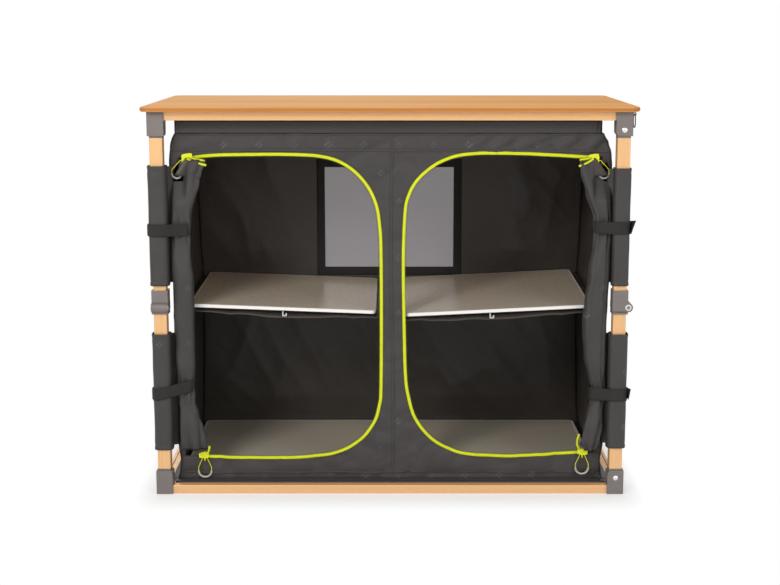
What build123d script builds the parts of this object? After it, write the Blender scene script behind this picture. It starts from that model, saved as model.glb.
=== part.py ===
from build123d import *
import os
from math import pi, radians, sin, sqrt, tan

os.makedirs("parts", exist_ok=True)

# A folding camping cupboard: a base frame and a table frame joined by four legs that fold at a
# knee, a cloth cover with two zipped doors between them, and loose shelf boards.
# Millimetres. X to the right, Y to the back, Z up, origin under the middle of the base.

# Overall sizes
table_length = 1000.0
table_width = 510.0
table_thickness = 10.0
table_corner = 22.0
table_edge = 4.5
height = 804.0
overhang_end = 13.0
overhang_side = 18.0

# Square leg tube and the brackets that hold it
tube_side = 27.0
tube_wall = 1.5
tube_corner = 3.0
bracket_wall = 3.0
bracket_play = 0.5
bracket_round = 9.0
bracket_edge = 1.5
foot_over_rail = 32.0
head_under_rail = 31.0
foot_pin_room = 3.0
head_pin_room = 5.5
pin_radius = 3.0
pin_head_radius = 5.0
pin_head = 1.5
pin_play = 0.05
cap_show = 4.0
spigot_length = 28.0
spigot_play = 0.1

# Rails of the base frame and of the table frame
rail_depth = 24.0
rail_height = 18.0
rail_wall = 1.5
rail_corner = 1.5
rail_top = 4.0
groove_width = 3.0
groove_depth = 2.2
groove_from_front = 8.0

# Knee of a leg
knee_pivot_out = 3.5
knee_outer_wall = 3.2
knee_inner_wall = 2.0
knee_side_wall = 3.5
knee_corner = 2.0
knee_gap = 0.3
ear_radius = 9.5
ear_thickness = 3.0
ear_play = 0.2
cheek_drop = 8.0
cheek_round = 6.0
collar_top = 10.0
collar_bottom = 14.0
collar_seat = 3.2
knee_sleeve_top = 35.0
knee_tube_start = 11.0
rivet_radius = 5.0
rivet_bore = 3.5
rivet_head_radius = 6.5
rivet_head = 1.2
tube_play = 0.1

# Cloth sleeves on the leg halves
sleeve_play = 0.3
sleeve_wall = 1.95
sleeve_round = 8.5
sleeve_over_foot = 44.0
sleeve_under_knee = 55.75
sleeve_over_knee = 44.25
sleeve_under_head = 60.0

# Cloth cover
cloth = 1.5
cover_end_gap = 3.0
cover_side_gap = 5.0
soft_gap = 0.3
hem_lap = 18.0
band_height = 28.0
band_inset = 15.0
floor_level = 37.0
floor_corner = 4.0
door_under_top = 42.0
door_bottom = {"left": 69.0, "right": 76.0}
door_from_end = 35.0
door_inner = {"left": 18.0, "right": 29.5}
door_top_reach = 130.0
door_top_drop = 190.0
door_low_round = 145.0
door_shoulder = (0.34, 0.25)
zip_width = 7.0
zip_thickness = 1.6
window_x = (-150.0, 147.0)
window_over_shelf = 20.4
window_under_top = 105.0
window_binding = 18.0
mesh_thickness = 0.8

# Boards
board_thickness = 7.0
board_corner = 12.0
board_edge = 1.0
board_side_gap = 8.0
floor_board_end_gap = 20.0
floor_board_parting = 2.4
shelf_board_end_gap = 33.5
shelf_board_middle_gap = 28.5
shelf_under_knee = 5.15
shelf_dip = {"left": 2.2, "right": 2.8}
shelf_rise = {"left": 0.8, "right": 2.0}
sling_thickness = 1.2
hook_from_middle = {"left": 4.0, "right": 11.0}
hook_wire = 1.4
hook_width = 3.0
hook_reach = 7.0
hook_drop = 8.0
hook_tip = 4.0

# Webbing straps and rolled doors
webbing = 1.5
strap_width = 25.0
upper_strap_under_top = 206.0
lower_strap = 200.0
strap_from_end = 43.0
strap_hold = 3.0
strap_corner = 6.0
strap_slack = 0.5
strap_slope = 8.0
roll_back = 2.6
roll_side = 0.45
roll_valley = 0.8
roll_ridge = 0.86

# Zip sliders and pulls
slider_length = 22.0
slider_height = 12.0
slider_thickness = 3.2
slider_corner = 3.0
lug_length = 5.0
lug_root = 4.0
lug_width = 2.4
lug_bore = 1.2
cord_radius = 0.8
pull_rise = 0.2
pull_neck = 1.8
pull_shoulder_bend = 6.0
pull_neck_bend = 1.6
grip_radius = 2.2
grip_sides = 10
wire_sides = 8
# For each zip: how far its slider is from the cover's end and over the door's edge, how far the
# lug is outwards of its middle and the pull's bow outwards of the lug, the pull's width and length
zip_ends = {
    "lower_left": (61.0, 8.0, 0.0, 0.0, 27.0, 42.0),
    "lower_right": (46.0, 8.0, 0.0, 0.0, 27.0, 42.0),
    "upper_left": (38.0, -4.0, 9.5, 12.0, 20.0, 36.0),
    "upper_right": (36.0, -4.0, 9.5, 12.0, 20.0, 36.0),
}

# Hanging ring on the right front table bracket
ring_wire = 1.1
ring_width = 24.0
ring_height = 27.0
ring_round = 10.0
ring_out = 4.3
ring_below_table = 5.2
eyelet_plate = 1.2
eyelet_length = 14.0
eyelet_height = 9.6
eyelet_corner = 2.0
eyelet_wire = 1.0
eyelet_radius = 3.0

# Worked out from the sizes above
frame_x = table_length / 2 - overhang_end
frame_y = table_width / 2 - overhang_side
bracket_side = tube_side + 2 * (bracket_play + bracket_wall)
leg_x = frame_x - bracket_side / 2
leg_y = frame_y - bracket_side / 2
table_under = height - table_thickness
foot_height = rail_height + foot_over_rail
head_height = rail_height + head_under_rail
foot_pivot = rail_height + foot_pin_room + tube_side / 2
head_pivot = rail_height + head_pin_room + tube_side / 2
head_pivot_z = table_under - head_pivot
knee_z = (foot_pivot + head_pivot_z) / 2
knee_offset = tube_side / 2 + knee_pivot_out
knee_outer = tube_side / 2 + knee_outer_wall
knee_inner = tube_side / 2 + knee_inner_wall
knee_side = tube_side / 2 + knee_side_wall
pin_hole = pin_radius + pin_play
rivet_hole = rivet_radius + pin_play
cap_z = foot_height + cap_show
head_cap_z = table_under - head_height - cap_show
sleeve_inner = tube_side + 2 * sleeve_play
sleeve_outer = sleeve_inner + 2 * sleeve_wall
lower_sleeve = (foot_height + sleeve_over_foot, knee_z - sleeve_under_knee)
upper_sleeve = (knee_z + sleeve_over_knee, table_under - head_height - sleeve_under_head)
cover_x = frame_x - bracket_side - cover_end_gap
cover_y = frame_y - bracket_side - cover_side_gap
cover_length = 2 * cover_x
cover_width = 2 * cover_y
cover_top = table_under - rail_height - band_height
band_length = cover_length - 2 * band_inset
band_width = cover_width - 2 * band_inset
door_top = cover_top - door_under_top
door_outer = cover_x - door_from_end
shelf_level = knee_z - shelf_under_knee
window_z = (shelf_level + window_over_shelf, cover_top - window_under_top)
board_width = cover_width - 2 * board_side_gap
floor_board_length = cover_x - floor_board_end_gap
shelf_board_length = cover_x - shelf_board_end_gap - shelf_board_middle_gap
shelf_board_x = shelf_board_middle_gap + shelf_board_length / 2
upper_strap = cover_top - upper_strap_under_top
strap_reach = cover_x - strap_from_end

# Each leg is the same part turned by a quarter, so that the four fold round the frame in turn
corners = {
    "front_right": Location((leg_x, -leg_y, 0), (0, 0, 0)),
    "back_right": Location((leg_x, leg_y, 0), (0, 0, 90)),
    "back_left": Location((-leg_x, leg_y, 0), (0, 0, 180)),
    "front_left": Location((-leg_x, -leg_y, 0), (0, 0, 270)),
}
sides = {"left": -1, "right": 1}


def save(solid, name):
    solid.label = name
    export_step(solid, f"parts/{name}.step")


def at_corners(seed):
    """The four copies of a piece that is drawn in the leg's own frame."""
    with BuildPart() as group:
        with Locations(*corners.values()):
            add(seed)
    return group.part


def turned_out(seed, corner):
    """One copy of a leg piece at its corner of the frame."""
    with BuildPart() as piece:
        with Locations(corners[corner]):
            add(seed)
    return piece.part


# Corner brackets. In the leg's own frame X points out of the fold and Y along the pin.
# The block carries the rails, and the leg folds out of the pocket's open side.
def corner_bracket(cheek_height, pivot_height):
    half = bracket_side / 2
    pocket = tube_side + 2 * bracket_play
    spigot_width = rail_depth - 2 * rail_wall - 2 * spigot_play
    spigot_height = rail_height - rail_top - rail_wall - 2 * spigot_play
    with BuildPart() as bracket:
        with BuildSketch(Plane.XZ) as outline:
            with Locations((0, cheek_height / 2)):
                Rectangle(bracket_side, cheek_height)
            inner_top = outline.vertices().sort_by(Axis.X)[:2].sort_by(Axis.Y)[-1]
            fillet(inner_top, radius=bracket_round)
        extrude(amount=half, both=True)
        fillet(bracket.edges().filter_by(Axis.Z), radius=bracket_edge)
        with BuildSketch(Plane.XY.offset(rail_height)):
            with Locations((-bracket_wall / 2, 0)):
                Rectangle(pocket + bracket_wall, pocket)
        extrude(amount=cheek_height, mode=Mode.SUBTRACT)
        with BuildSketch(Plane.XZ):
            with Locations((0, pivot_height)):
                Circle(pin_hole)
        extrude(amount=bracket_side, both=True, mode=Mode.SUBTRACT)
        spigot_z = rail_wall + spigot_play + spigot_height / 2
        with BuildSketch(Plane.YZ.offset(-half)):
            with Locations((0, spigot_z)):
                Rectangle(spigot_width, spigot_height)
        extrude(amount=-spigot_length)
        with BuildSketch(Plane.XZ.offset(-half)):
            with Locations((0, spigot_z)):
                Rectangle(spigot_width, spigot_height)
        extrude(amount=-spigot_length)
    return bracket.part


def bracket_pin(pivot_height):
    """A rivet through both cheeks, with a domed head on each."""
    half = bracket_side / 2
    dome = (pin_head_radius**2 + pin_head**2) / (2 * pin_head)
    shoulder = 0.6 * pin_head_radius
    fall = dome - sqrt(dome**2 - shoulder**2)
    with BuildPart() as pin:
        with BuildSketch(Plane.XY):
            with BuildLine():
                ThreePointArc(
                    (0, half + pin_head),
                    (shoulder, half + pin_head - fall),
                    (pin_head_radius, half),
                )
                Line((pin_head_radius, half), (pin_radius, half))
                Line((pin_radius, half), (pin_radius, 0))
                Line((pin_radius, 0), (0, 0))
                Line((0, 0), (0, half + pin_head))
            make_face()
        revolve(axis=Axis.Y)
        mirror(about=Plane.XZ)
    return Pos(0, 0, pivot_height) * pin.part


base_feet = at_corners(corner_bracket(foot_height, foot_pivot))
save(base_feet, "base_feet")
foot_pins = at_corners(bracket_pin(foot_pivot))
save(foot_pins, "foot_pins")

with BuildPart() as head_seed:
    add(corner_bracket(head_height, head_pivot))
    mirror(about=Plane.XY, mode=Mode.REPLACE)
top_corners = at_corners(Pos(0, 0, table_under) * head_seed.part)
save(top_corners, "top_corners")
top_pins = at_corners(bracket_pin(head_pivot_z))
save(top_pins, "top_pins")


# Rails: a box section with a groove along one face, which takes the edge of the cover
def rail_section(length):
    with BuildPart() as rail:
        with BuildSketch(Plane.YZ):
            with Locations((0, rail_height / 2)):
                RectangleRounded(rail_depth, rail_height, rail_corner)
            inside = rail_height - rail_top - rail_wall
            with Locations((0, rail_wall + inside / 2)):
                Rectangle(rail_depth - 2 * rail_wall, inside, mode=Mode.SUBTRACT)
            groove_y = -rail_depth / 2 + groove_from_front
            with Locations((groove_y, rail_height - groove_depth / 2)):
                Rectangle(groove_width, groove_depth, mode=Mode.SUBTRACT)
        extrude(amount=length / 2, both=True)
    return rail.part


long_rail = rail_section(2 * (leg_x - bracket_side / 2))
short_rail = rail_section(2 * (leg_y - bracket_side / 2))
upside_down = Pos(0, 0, table_under) * Rot(180, 0, 0)

with BuildPart() as base_rails_long:
    with Locations(Location((0, -leg_y, 0)), Location((0, leg_y, 0), (0, 0, 180))):
        add(long_rail)
save(base_rails_long.part, "base_rails_long")

with BuildPart() as base_rails_short:
    with Locations(Location((leg_x, 0, 0), (0, 0, 90)), Location((-leg_x, 0, 0), (0, 0, 270))):
        add(short_rail)
save(base_rails_short.part, "base_rails_short")

with BuildPart() as top_rails_long:
    with Locations(Location((0, leg_y, 0)), Location((0, -leg_y, 0), (0, 0, 180))):
        add(upside_down * long_rail)
save(top_rails_long.part, "top_rails_long")

with BuildPart() as top_rails_short:
    with Locations(Location((leg_x, 0, 0), (0, 0, 270)), Location((-leg_x, 0, 0), (0, 0, 90))):
        add(upside_down * short_rail)
save(top_rails_short.part, "top_rails_short")

# Tabletop, with a rounded edge all round
with BuildPart() as tabletop:
    with BuildSketch(Plane.XY.offset(table_under)):
        RectangleRounded(table_length, table_width, table_corner)
    extrude(amount=table_thickness)
    rims = tabletop.faces().filter_by(Axis.Z).edges()
    fillet(rims, radius=min(table_edge, 0.45 * table_thickness))
save(tabletop.part, "tabletop")


# Leg halves
def leg_tube(bottom, top):
    with BuildPart() as tube:
        with BuildSketch(Plane.XY.offset(bottom)):
            RectangleRounded(tube_side, tube_side, tube_corner)
            bore = tube_side - 2 * tube_wall
            RectangleRounded(bore, bore, tube_corner - tube_wall, mode=Mode.SUBTRACT)
        extrude(amount=top - bottom)
    return tube.part


def end_cap(pivot_z, shoulder_z):
    """The moulded end of a leg: round about its pin, a flush shoulder, and a plug in the tube."""
    way = 1 if shoulder_z > pivot_z else -1
    half = tube_side / 2
    plug = tube_side - 2 * tube_wall - 2 * spigot_play
    with BuildPart() as cap:
        with BuildSketch(Plane.XY.offset(pivot_z - way * half)):
            RectangleRounded(tube_side, tube_side, tube_corner)
        extrude(amount=shoulder_z - pivot_z + way * half)
        with BuildSketch(Plane.XZ):
            with Locations((0, pivot_z)):
                Circle(half)
            with Locations((0, (pivot_z + shoulder_z) / 2)):
                Rectangle(tube_side, abs(shoulder_z - pivot_z))
        extrude(amount=tube_side, both=True, mode=Mode.INTERSECT)
        with BuildSketch(Plane.XY.offset(shoulder_z)):
            RectangleRounded(plug, plug, tube_corner - tube_wall)
        extrude(amount=way * spigot_length)
        with BuildSketch(Plane.XZ):
            with Locations((0, pivot_z)):
                Circle(pin_hole)
        extrude(amount=tube_side, both=True, mode=Mode.SUBTRACT)
    return cap.part


knee_middle = (knee_outer - knee_inner) / 2
knee_depth = knee_outer + knee_inner
cheek_in = knee_side - ear_thickness
neck_side = cheek_in - ear_play
seat = tube_side + 2 * tube_play

# Lower knee: a collar on the tube, a neck between the cheeks and the middle knuckle
with BuildPart() as lower_knee:
    with BuildSketch(Plane.XY.offset(knee_z - collar_bottom)):
        with Locations((knee_middle, 0)):
            RectangleRounded(knee_depth, 2 * knee_side, knee_corner)
    extrude(amount=collar_bottom - collar_top)
    with BuildSketch(Plane.XY.offset(knee_z - collar_bottom)):
        RectangleRounded(seat, seat, tube_corner)
    extrude(amount=collar_seat, mode=Mode.SUBTRACT)
    with BuildSketch(Plane.XY.offset(knee_z - collar_top)):
        with Locations((knee_middle, 0)):
            Rectangle(knee_depth, 2 * neck_side)
    extrude(amount=collar_top - knee_gap)
    with BuildSketch(Plane.XZ):
        with Locations((knee_offset, knee_z)):
            Circle(ear_radius)
    extrude(amount=neck_side, both=True)
    plug = tube_side - 2 * tube_wall - 2 * spigot_play
    with BuildSketch(Plane.XY.offset(knee_z - collar_bottom + collar_seat)):
        RectangleRounded(plug, plug, tube_corner - tube_wall)
    extrude(amount=-spigot_length)
    with BuildSketch(Plane.XZ):
        with Locations((knee_offset, knee_z)):
            Circle(rivet_hole)
    extrude(amount=tube_side, both=True, mode=Mode.SUBTRACT)

# Upper knee: a socket on the tube, and two cheeks whose ears take the rivet
with BuildPart() as upper_knee:
    with BuildSketch(Plane.XY.offset(knee_z + knee_gap)):
        with Locations((knee_middle, 0)):
            RectangleRounded(knee_depth, 2 * knee_side, knee_corner)
    extrude(amount=knee_sleeve_top - knee_gap)
    with BuildSketch(Plane.XY.offset(knee_z + knee_tube_start)):
        RectangleRounded(seat, seat, tube_corner)
    extrude(amount=knee_sleeve_top, mode=Mode.SUBTRACT)
    with BuildSketch(Plane.XZ):
        with Locations((knee_offset, knee_z)):
            Circle(ear_radius + knee_gap)
    extrude(amount=cheek_in, both=True, mode=Mode.SUBTRACT)
    for way in (-1, 1):
        with BuildSketch(Plane.XZ.offset(way * cheek_in)) as cheek:
            with Locations((knee_middle, knee_z + (ear_radius - cheek_drop) / 2)):
                Rectangle(knee_depth, cheek_drop + ear_radius)
            low_inner = cheek.vertices().sort_by(Axis.X)[:2].sort_by(Axis.Y)[0]
            fillet(low_inner, radius=cheek_round)
            with Locations((knee_offset, knee_z)):
                Circle(ear_radius)
        extrude(amount=way * ear_thickness)
    with BuildSketch(Plane.XZ):
        with Locations((knee_offset, knee_z)):
            Circle(rivet_hole)
    extrude(amount=tube_side, both=True, mode=Mode.SUBTRACT)

# Hollow rivet, rolled over at both ends
with BuildPart() as knee_rivet:
    with BuildSketch(Plane.XY):
        with BuildLine():
            Polyline(
                (rivet_bore, knee_side + rivet_head),
                (rivet_head_radius - rivet_head / 2, knee_side + rivet_head),
                (rivet_head_radius, knee_side + rivet_head / 2),
                (rivet_head_radius, knee_side),
                (rivet_radius, knee_side),
                (rivet_radius, -knee_side),
                (rivet_head_radius, -knee_side),
                (rivet_head_radius, -knee_side - rivet_head / 2),
                (rivet_head_radius - rivet_head / 2, -knee_side - rivet_head),
                (rivet_bore, -knee_side - rivet_head),
                close=True,
            )
        make_face()
    revolve(axis=Axis.Y)
knee_rivet_seed = Pos(knee_offset, 0, knee_z) * knee_rivet.part


def cloth_sleeve(bottom, top):
    with BuildPart() as sleeve:
        with BuildSketch(Plane.XY.offset(bottom)):
            RectangleRounded(sleeve_outer, sleeve_outer, sleeve_round)
            RectangleRounded(sleeve_inner, sleeve_inner, tube_corner, mode=Mode.SUBTRACT)
        extrude(amount=top - bottom)
    return sleeve.part


lower_tube = leg_tube(cap_z, knee_z - collar_bottom + collar_seat)
upper_tube = leg_tube(knee_z + knee_tube_start, head_cap_z)
with BuildPart() as lower_fittings:
    add(end_cap(foot_pivot, cap_z))
    add(lower_knee.part)
with BuildPart() as upper_fittings:
    add(end_cap(head_pivot_z, head_cap_z))
    add(upper_knee.part)

for corner in corners:
    save(turned_out(lower_tube, corner), f"{corner}_lower_tube")
    save(turned_out(upper_tube, corner), f"{corner}_upper_tube")
    save(turned_out(lower_fittings.part, corner), f"{corner}_lower_fittings")
    save(turned_out(upper_fittings.part, corner), f"{corner}_upper_fittings")
    save(turned_out(knee_rivet_seed, corner), f"{corner}_knee_rivet")
    save(turned_out(cloth_sleeve(*lower_sleeve), corner), f"{corner}_lower_sleeve")
    save(turned_out(cloth_sleeve(*upper_sleeve), corner), f"{corner}_upper_sleeve")


# Cover. The cloth walls stand inside the legs, and their hems lie on the base rails.
def door_outline(side, margin=0.0):
    """A door opening: square at its outer edge, sweeping round at its inner corners."""
    way = sides[side]
    outer = way * (door_outer + margin)
    inner = way * (door_inner[side] - margin)
    top = door_top + margin
    low = door_bottom[side] - margin
    reach = door_top_reach + margin
    drop = door_top_drop + margin
    round_low = door_low_round + margin
    with BuildSketch() as outline:
        with BuildLine():
            Line((outer, low), (outer, top))
            Line((outer, top), (inner + way * reach, top))
            ThreePointArc(
                (inner + way * reach, top),
                (inner + way * door_shoulder[0] * reach, top - door_shoulder[1] * drop),
                (inner, top - drop),
            )
            Line((inner, top - drop), (inner, low + round_low))
            ThreePointArc(
                (inner, low + round_low),
                (inner + way * (1 - sin(pi / 4)) * round_low, low + (1 - sin(pi / 4)) * round_low),
                (inner + way * round_low, low),
            )
            Line((inner + way * round_low, low), (outer, low))
        make_face()
    return outline.sketch


def hem(length, run):
    """A strip of cloth turned outwards over the rail, drawn along X at the front wall."""
    with BuildPart() as strip:
        with BuildSketch(Plane.YZ):
            with Locations((-run / 2, cloth / 2)):
                Rectangle(run, cloth)
        extrude(amount=length / 2, both=True)
    return strip.part


front_plane = Plane.XZ.offset(cover_y - cloth)
wall_bottom = rail_height + soft_gap
wall_height = cover_top - wall_bottom
with BuildPart() as cover_front:
    with BuildSketch(front_plane):
        with Locations((0, wall_bottom + wall_height / 2)):
            Rectangle(cover_length - 2 * cloth - 2 * soft_gap, wall_height)
        for side in sides:
            add(door_outline(side), mode=Mode.SUBTRACT)
    extrude(amount=cloth)
    with Locations((0, -cover_y + cloth / 2, wall_bottom)):
        add(hem(band_length, hem_lap))
save(cover_front.part, "cover_front")

window_width = window_x[1] - window_x[0]
window_height = window_z[1] - window_z[0]
window_centre = ((window_x[0] + window_x[1]) / 2, (window_z[0] + window_z[1]) / 2)
with BuildPart() as cover_back:
    with BuildSketch(Plane.XZ.offset(-cover_y)):
        with Locations((0, wall_bottom + wall_height / 2)):
            Rectangle(cover_length - 2 * cloth - 2 * soft_gap, wall_height)
    extrude(amount=cloth)
    with Locations(Location((0, cover_y - cloth / 2, wall_bottom), (0, 0, 180))):
        add(hem(band_length, hem_lap))
    with BuildSketch(Plane.XZ.offset(-cover_y + cloth)):
        with Locations(window_centre):
            Rectangle(window_width + 2 * window_binding, window_height + 2 * window_binding)
    extrude(amount=cloth / 2)
    with BuildSketch(Plane.XZ.offset(-cover_y - cloth)):
        with Locations(window_centre):
            Rectangle(window_width, window_height)
    extrude(amount=4 * cloth, mode=Mode.SUBTRACT)
save(cover_back.part, "cover_back")

with BuildPart() as window_mesh:
    with BuildSketch(Plane.XZ.offset(-cover_y + (cloth - mesh_thickness) / 2)):
        with Locations(window_centre):
            Rectangle(window_width - 2 * soft_gap, window_height - 2 * soft_gap)
    extrude(amount=mesh_thickness)
save(window_mesh.part, "window_mesh")

with BuildPart() as side_wall:
    with BuildSketch(Plane.YZ.offset(cover_x - cloth)):
        with Locations((0, wall_bottom + wall_height / 2)):
            Rectangle(cover_width, wall_height)
    extrude(amount=cloth)
    with Locations(Location((cover_x - cloth / 2, 0, wall_bottom), (0, 0, 90))):
        add(hem(band_width, hem_lap))
with BuildPart() as cover_sides:
    add(side_wall.part)
    mirror(side_wall.part, about=Plane.YZ)
save(cover_sides.part, "cover_sides")

with BuildPart() as cover_floor:
    with BuildSketch(Plane.XY.offset(floor_level)):
        inset = 2 * cloth + 2 * soft_gap
        RectangleRounded(cover_length - inset, cover_width - inset, floor_corner)
    extrude(amount=cloth)
save(cover_floor.part, "cover_floor")


# Hanging band: a strip above each wall that turns out under the table rail
def band_strip(length):
    top = table_under - rail_height - soft_gap
    low = cover_top + soft_gap
    with BuildPart() as strip:
        with BuildSketch(Plane.YZ):
            with BuildLine():
                Polyline(
                    (0, low),
                    (cloth, low),
                    (cloth, top),
                    (-rail_depth - 2 * cloth, top),
                    (-rail_depth - 2 * cloth, top - cloth),
                    (0, top - cloth),
                    close=True,
                )
            make_face()
        extrude(amount=length / 2, both=True)
    return strip.part


with BuildPart() as cover_band:
    with Locations(Location((0, -cover_y, 0)), Location((0, cover_y, 0), (0, 0, 180))):
        add(band_strip(band_length))
    with Locations(
        Location((cover_x, 0, 0), (0, 0, 90)),
        Location((-cover_x, 0, 0), (0, 0, 270)),
    ):
        add(band_strip(band_width))
save(cover_band.part, "cover_band")

# Floor boards, laid side by side on the cloth floor
with BuildPart() as floor_boards:
    board_x = (floor_board_length + floor_board_parting) / 2
    with BuildSketch(Plane.XY.offset(floor_level + cloth + soft_gap)):
        with Locations((-board_x, 0), (board_x, 0)):
            RectangleRounded(floor_board_length, board_width, board_corner)
    extrude(amount=board_thickness)
save(floor_boards.part, "floor_boards")


# Shelf boards lie on a cloth sling and tip towards its middle
def shelf_plane(side):
    """The plane of a board's top."""
    way = sides[side]
    tilt = (shelf_rise[side], -way * shelf_dip[side], 0)
    return Plane(Location((way * shelf_board_x, 0, shelf_level), tilt))


for side in sides:
    with BuildPart() as shelf_board:
        with BuildSketch(shelf_plane(side)):
            RectangleRounded(shelf_board_length, board_width, board_corner)
        extrude(amount=-board_thickness)
        chamfer(shelf_board.edges().group_by(SortBy.LENGTH)[-1], length=board_edge)
    save(shelf_board.part, f"shelf_board_{side}")


def sling_height(x, y):
    """How high the sling's upper face lies at a place, just under the boards."""
    side = "left" if x < 0 else "right"
    way = sides[side]
    along = (x - way * shelf_board_x) * way * tan(radians(shelf_dip[side]))
    across = y * tan(radians(shelf_rise[side]))
    return shelf_level - board_thickness - 2 * soft_gap + along + across


def sling_section(y):
    """The sling's section across the cupboard at one depth."""
    end = cover_x - cloth - soft_gap
    middle = min(sling_height(-1, y), sling_height(1, y))
    left = sling_height(-end, y)
    right = sling_height(end, y)
    return [
        (-end, left),
        (0, middle),
        (end, right),
        (end, right - sling_thickness),
        (0, middle - sling_thickness),
        (-end, left - sling_thickness),
    ]


with BuildPart() as shelf_sling:
    sling_reach = board_width / 2
    for y in (-sling_reach, sling_reach):
        with BuildSketch(Plane.XZ.offset(-y)):
            with BuildLine():
                Polyline(*sling_section(y), close=True)
            make_face()
    loft(ruled=True)
save(shelf_sling.part, "shelf_sling")

# Small hooks that hang from the sling's front edge
with BuildPart() as shelf_hooks:
    for side, way in sides.items():
        hook_x = way * (shelf_board_x - hook_from_middle[side])
        top = sling_height(hook_x, -sling_reach) - hook_wire
        with BuildSketch(Plane.XZ.offset(sling_reach + soft_gap)):
            with BuildLine():
                Polyline(
                    (hook_x - hook_reach / 2, top),
                    (hook_x - hook_reach / 2, top - hook_drop),
                    (hook_x + hook_reach / 2, top - hook_drop),
                    (hook_x + hook_reach / 2, top - hook_drop + hook_tip),
                )
                offset(amount=hook_wire)
            make_face()
        extrude(amount=hook_width)
save(shelf_hooks.part, "shelf_hooks")


# Straps: a loop of webbing round a leg's sleeve and the rolled door beside it
def strap_loop(way, bottom):
    round_sleeve = sleeve_outer / 2 + strap_slack + webbing
    front = -leg_y - round_sleeve
    wall = -cover_y - soft_gap
    with BuildPart() as strap:
        with BuildSketch(Plane.XY.offset(bottom)) as loop:
            with BuildLine():
                Polyline(
                    (way * (leg_x + round_sleeve), front),
                    (way * (leg_x - round_sleeve), front),
                    (way * strap_reach, front + strap_slope),
                    (way * strap_reach, wall),
                    (way * (cover_x - strap_slope / 2), wall),
                    (way * (leg_x + round_sleeve), -leg_y + round_sleeve),
                    close=True,
                )
            make_face()
            fillet(loop.vertices(), radius=strap_corner)
            offset(amount=-webbing, mode=Mode.SUBTRACT)
        extrude(amount=strap_width)
    return strap.part


with BuildPart() as straps:
    for way in sides.values():
        for bottom in (lower_strap, upper_strap):
            add(strap_loop(way, bottom))
save(straps.part, "straps")


# Rolled doors: a bundle of cloth with three folds that show, gathered at the straps
def roll_section(way, z, inner, outer, depth):
    """One section of a roll: flat at the wall, three rounded folds at the front."""
    back = -cover_y - roll_back
    step = (outer - inner) / 3
    side_depth = roll_side * depth
    valley = roll_valley * depth
    ridge = roll_ridge * depth
    with BuildSketch(Plane.XY.offset(z)) as section:
        with BuildLine():
            Line((way * inner, back), (way * outer, back))
            Line((way * outer, back), (way * outer, back - side_depth))
            folds = [
                (outer, side_depth, outer - 0.5 * step, ridge),
                (outer - step, valley, outer - 1.5 * step, depth),
                (outer - 2 * step, valley, outer - 2.5 * step, ridge),
            ]
            ends = [(outer - step, valley), (outer - 2 * step, valley), (inner, side_depth)]
            for (x, d, mid_x, mid_d), (end_x, end_d) in zip(folds, ends):
                ThreePointArc(
                    (way * x, back - d), (way * mid_x, back - mid_d), (way * end_x, back - end_d)
                )
            Line((way * inner, back - side_depth), (way * inner, back))
        make_face()
    return section.sketch


strap_span = upper_strap - lower_strap
roll_stations = [
    # height, then the inner and the outer edge as distances from the cover's end, and the depth
    (lower_strap - 108.0, 76.0, 24.0, 13.0),
    (lower_strap - 50.0, 52.0, 14.0, 21.0),
    (lower_strap - strap_hold, 39.0, 8.0, 20.0),
    (lower_strap + strap_width + strap_hold, 39.0, 8.0, 20.0),
    (lower_strap + 0.3 * strap_span, 44.0, 7.0, 27.0),
    (lower_strap + 0.7 * strap_span, 45.0, 7.0, 28.0),
    (upper_strap - strap_hold, 39.0, 8.0, 20.0),
    (upper_strap + strap_width + strap_hold, 39.0, 8.0, 20.0),
    (door_top - 96.0, 52.0, 18.0, 22.0),
    (door_top - 58.0, 62.0, 33.0, 15.0),
    (door_top - 20.0, 69.0, 34.0, 9.0),
]
for side, way in sides.items():
    with BuildPart() as door_roll:
        for level, inner, outer, depth in roll_stations:
            add(roll_section(way, level, cover_x - inner, cover_x - outer, depth))
        loft(ruled=True)
    save(door_roll.part, f"door_roll_{side}")

# Zips: a chain round each opening and a slider at each of its ends
chain_plane = Plane.XZ.offset(cover_y + soft_gap)
slider_plane = Plane.XZ.offset(cover_y + 2 * soft_gap + zip_thickness)
slider_middle = cover_y + 2 * soft_gap + zip_thickness + slider_thickness / 2


def slider_place(place):
    """A slider's x and z, its lug's x, and the way out from the cupboard's middle."""
    level, side = place.split("_")
    from_end, over_edge, lug_out = zip_ends[place][:3]
    edge = door_top if level == "upper" else door_bottom[side]
    x = sides[side] * (cover_x - from_end)
    return x, edge + over_edge, x + sides[side] * lug_out, sides[side]


def slider(place):
    """A slider with a lug whose bore, along X, takes the pull's cord."""
    x, z, lug_x, _ = slider_place(place)
    low = z - slider_height / 2
    with BuildPart() as body:
        with BuildSketch(slider_plane):
            with Locations((x, z)):
                RectangleRounded(slider_length, slider_height, slider_corner)
            with Locations((lug_x, low - lug_length / 2 + lug_root / 2)):
                Rectangle(lug_width, lug_length + lug_root)
        extrude(amount=slider_thickness)
        with BuildSketch(Plane.YZ.offset(lug_x)):
            with Locations((-slider_middle, low - lug_length / 2)):
                Circle(lug_bore)
        extrude(amount=lug_width, both=True, mode=Mode.SUBTRACT)
    return body.part


with BuildPart() as zips:
    for side, way in sides.items():
        with BuildSketch(chain_plane):
            add(door_outline(side, zip_width))
            add(door_outline(side), mode=Mode.SUBTRACT)
            with Locations((way * (door_outer + zip_width), height / 2)):
                Rectangle(2 * zip_width, height, mode=Mode.SUBTRACT)
        extrude(amount=zip_thickness)
        add(slider(f"lower_{side}"))
save(zips.part, "zips")

with BuildPart() as zip_sliders_upper:
    for side in sides:
        add(slider(f"upper_{side}"))
save(zip_sliders_upper.part, "zip_sliders_upper")


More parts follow.
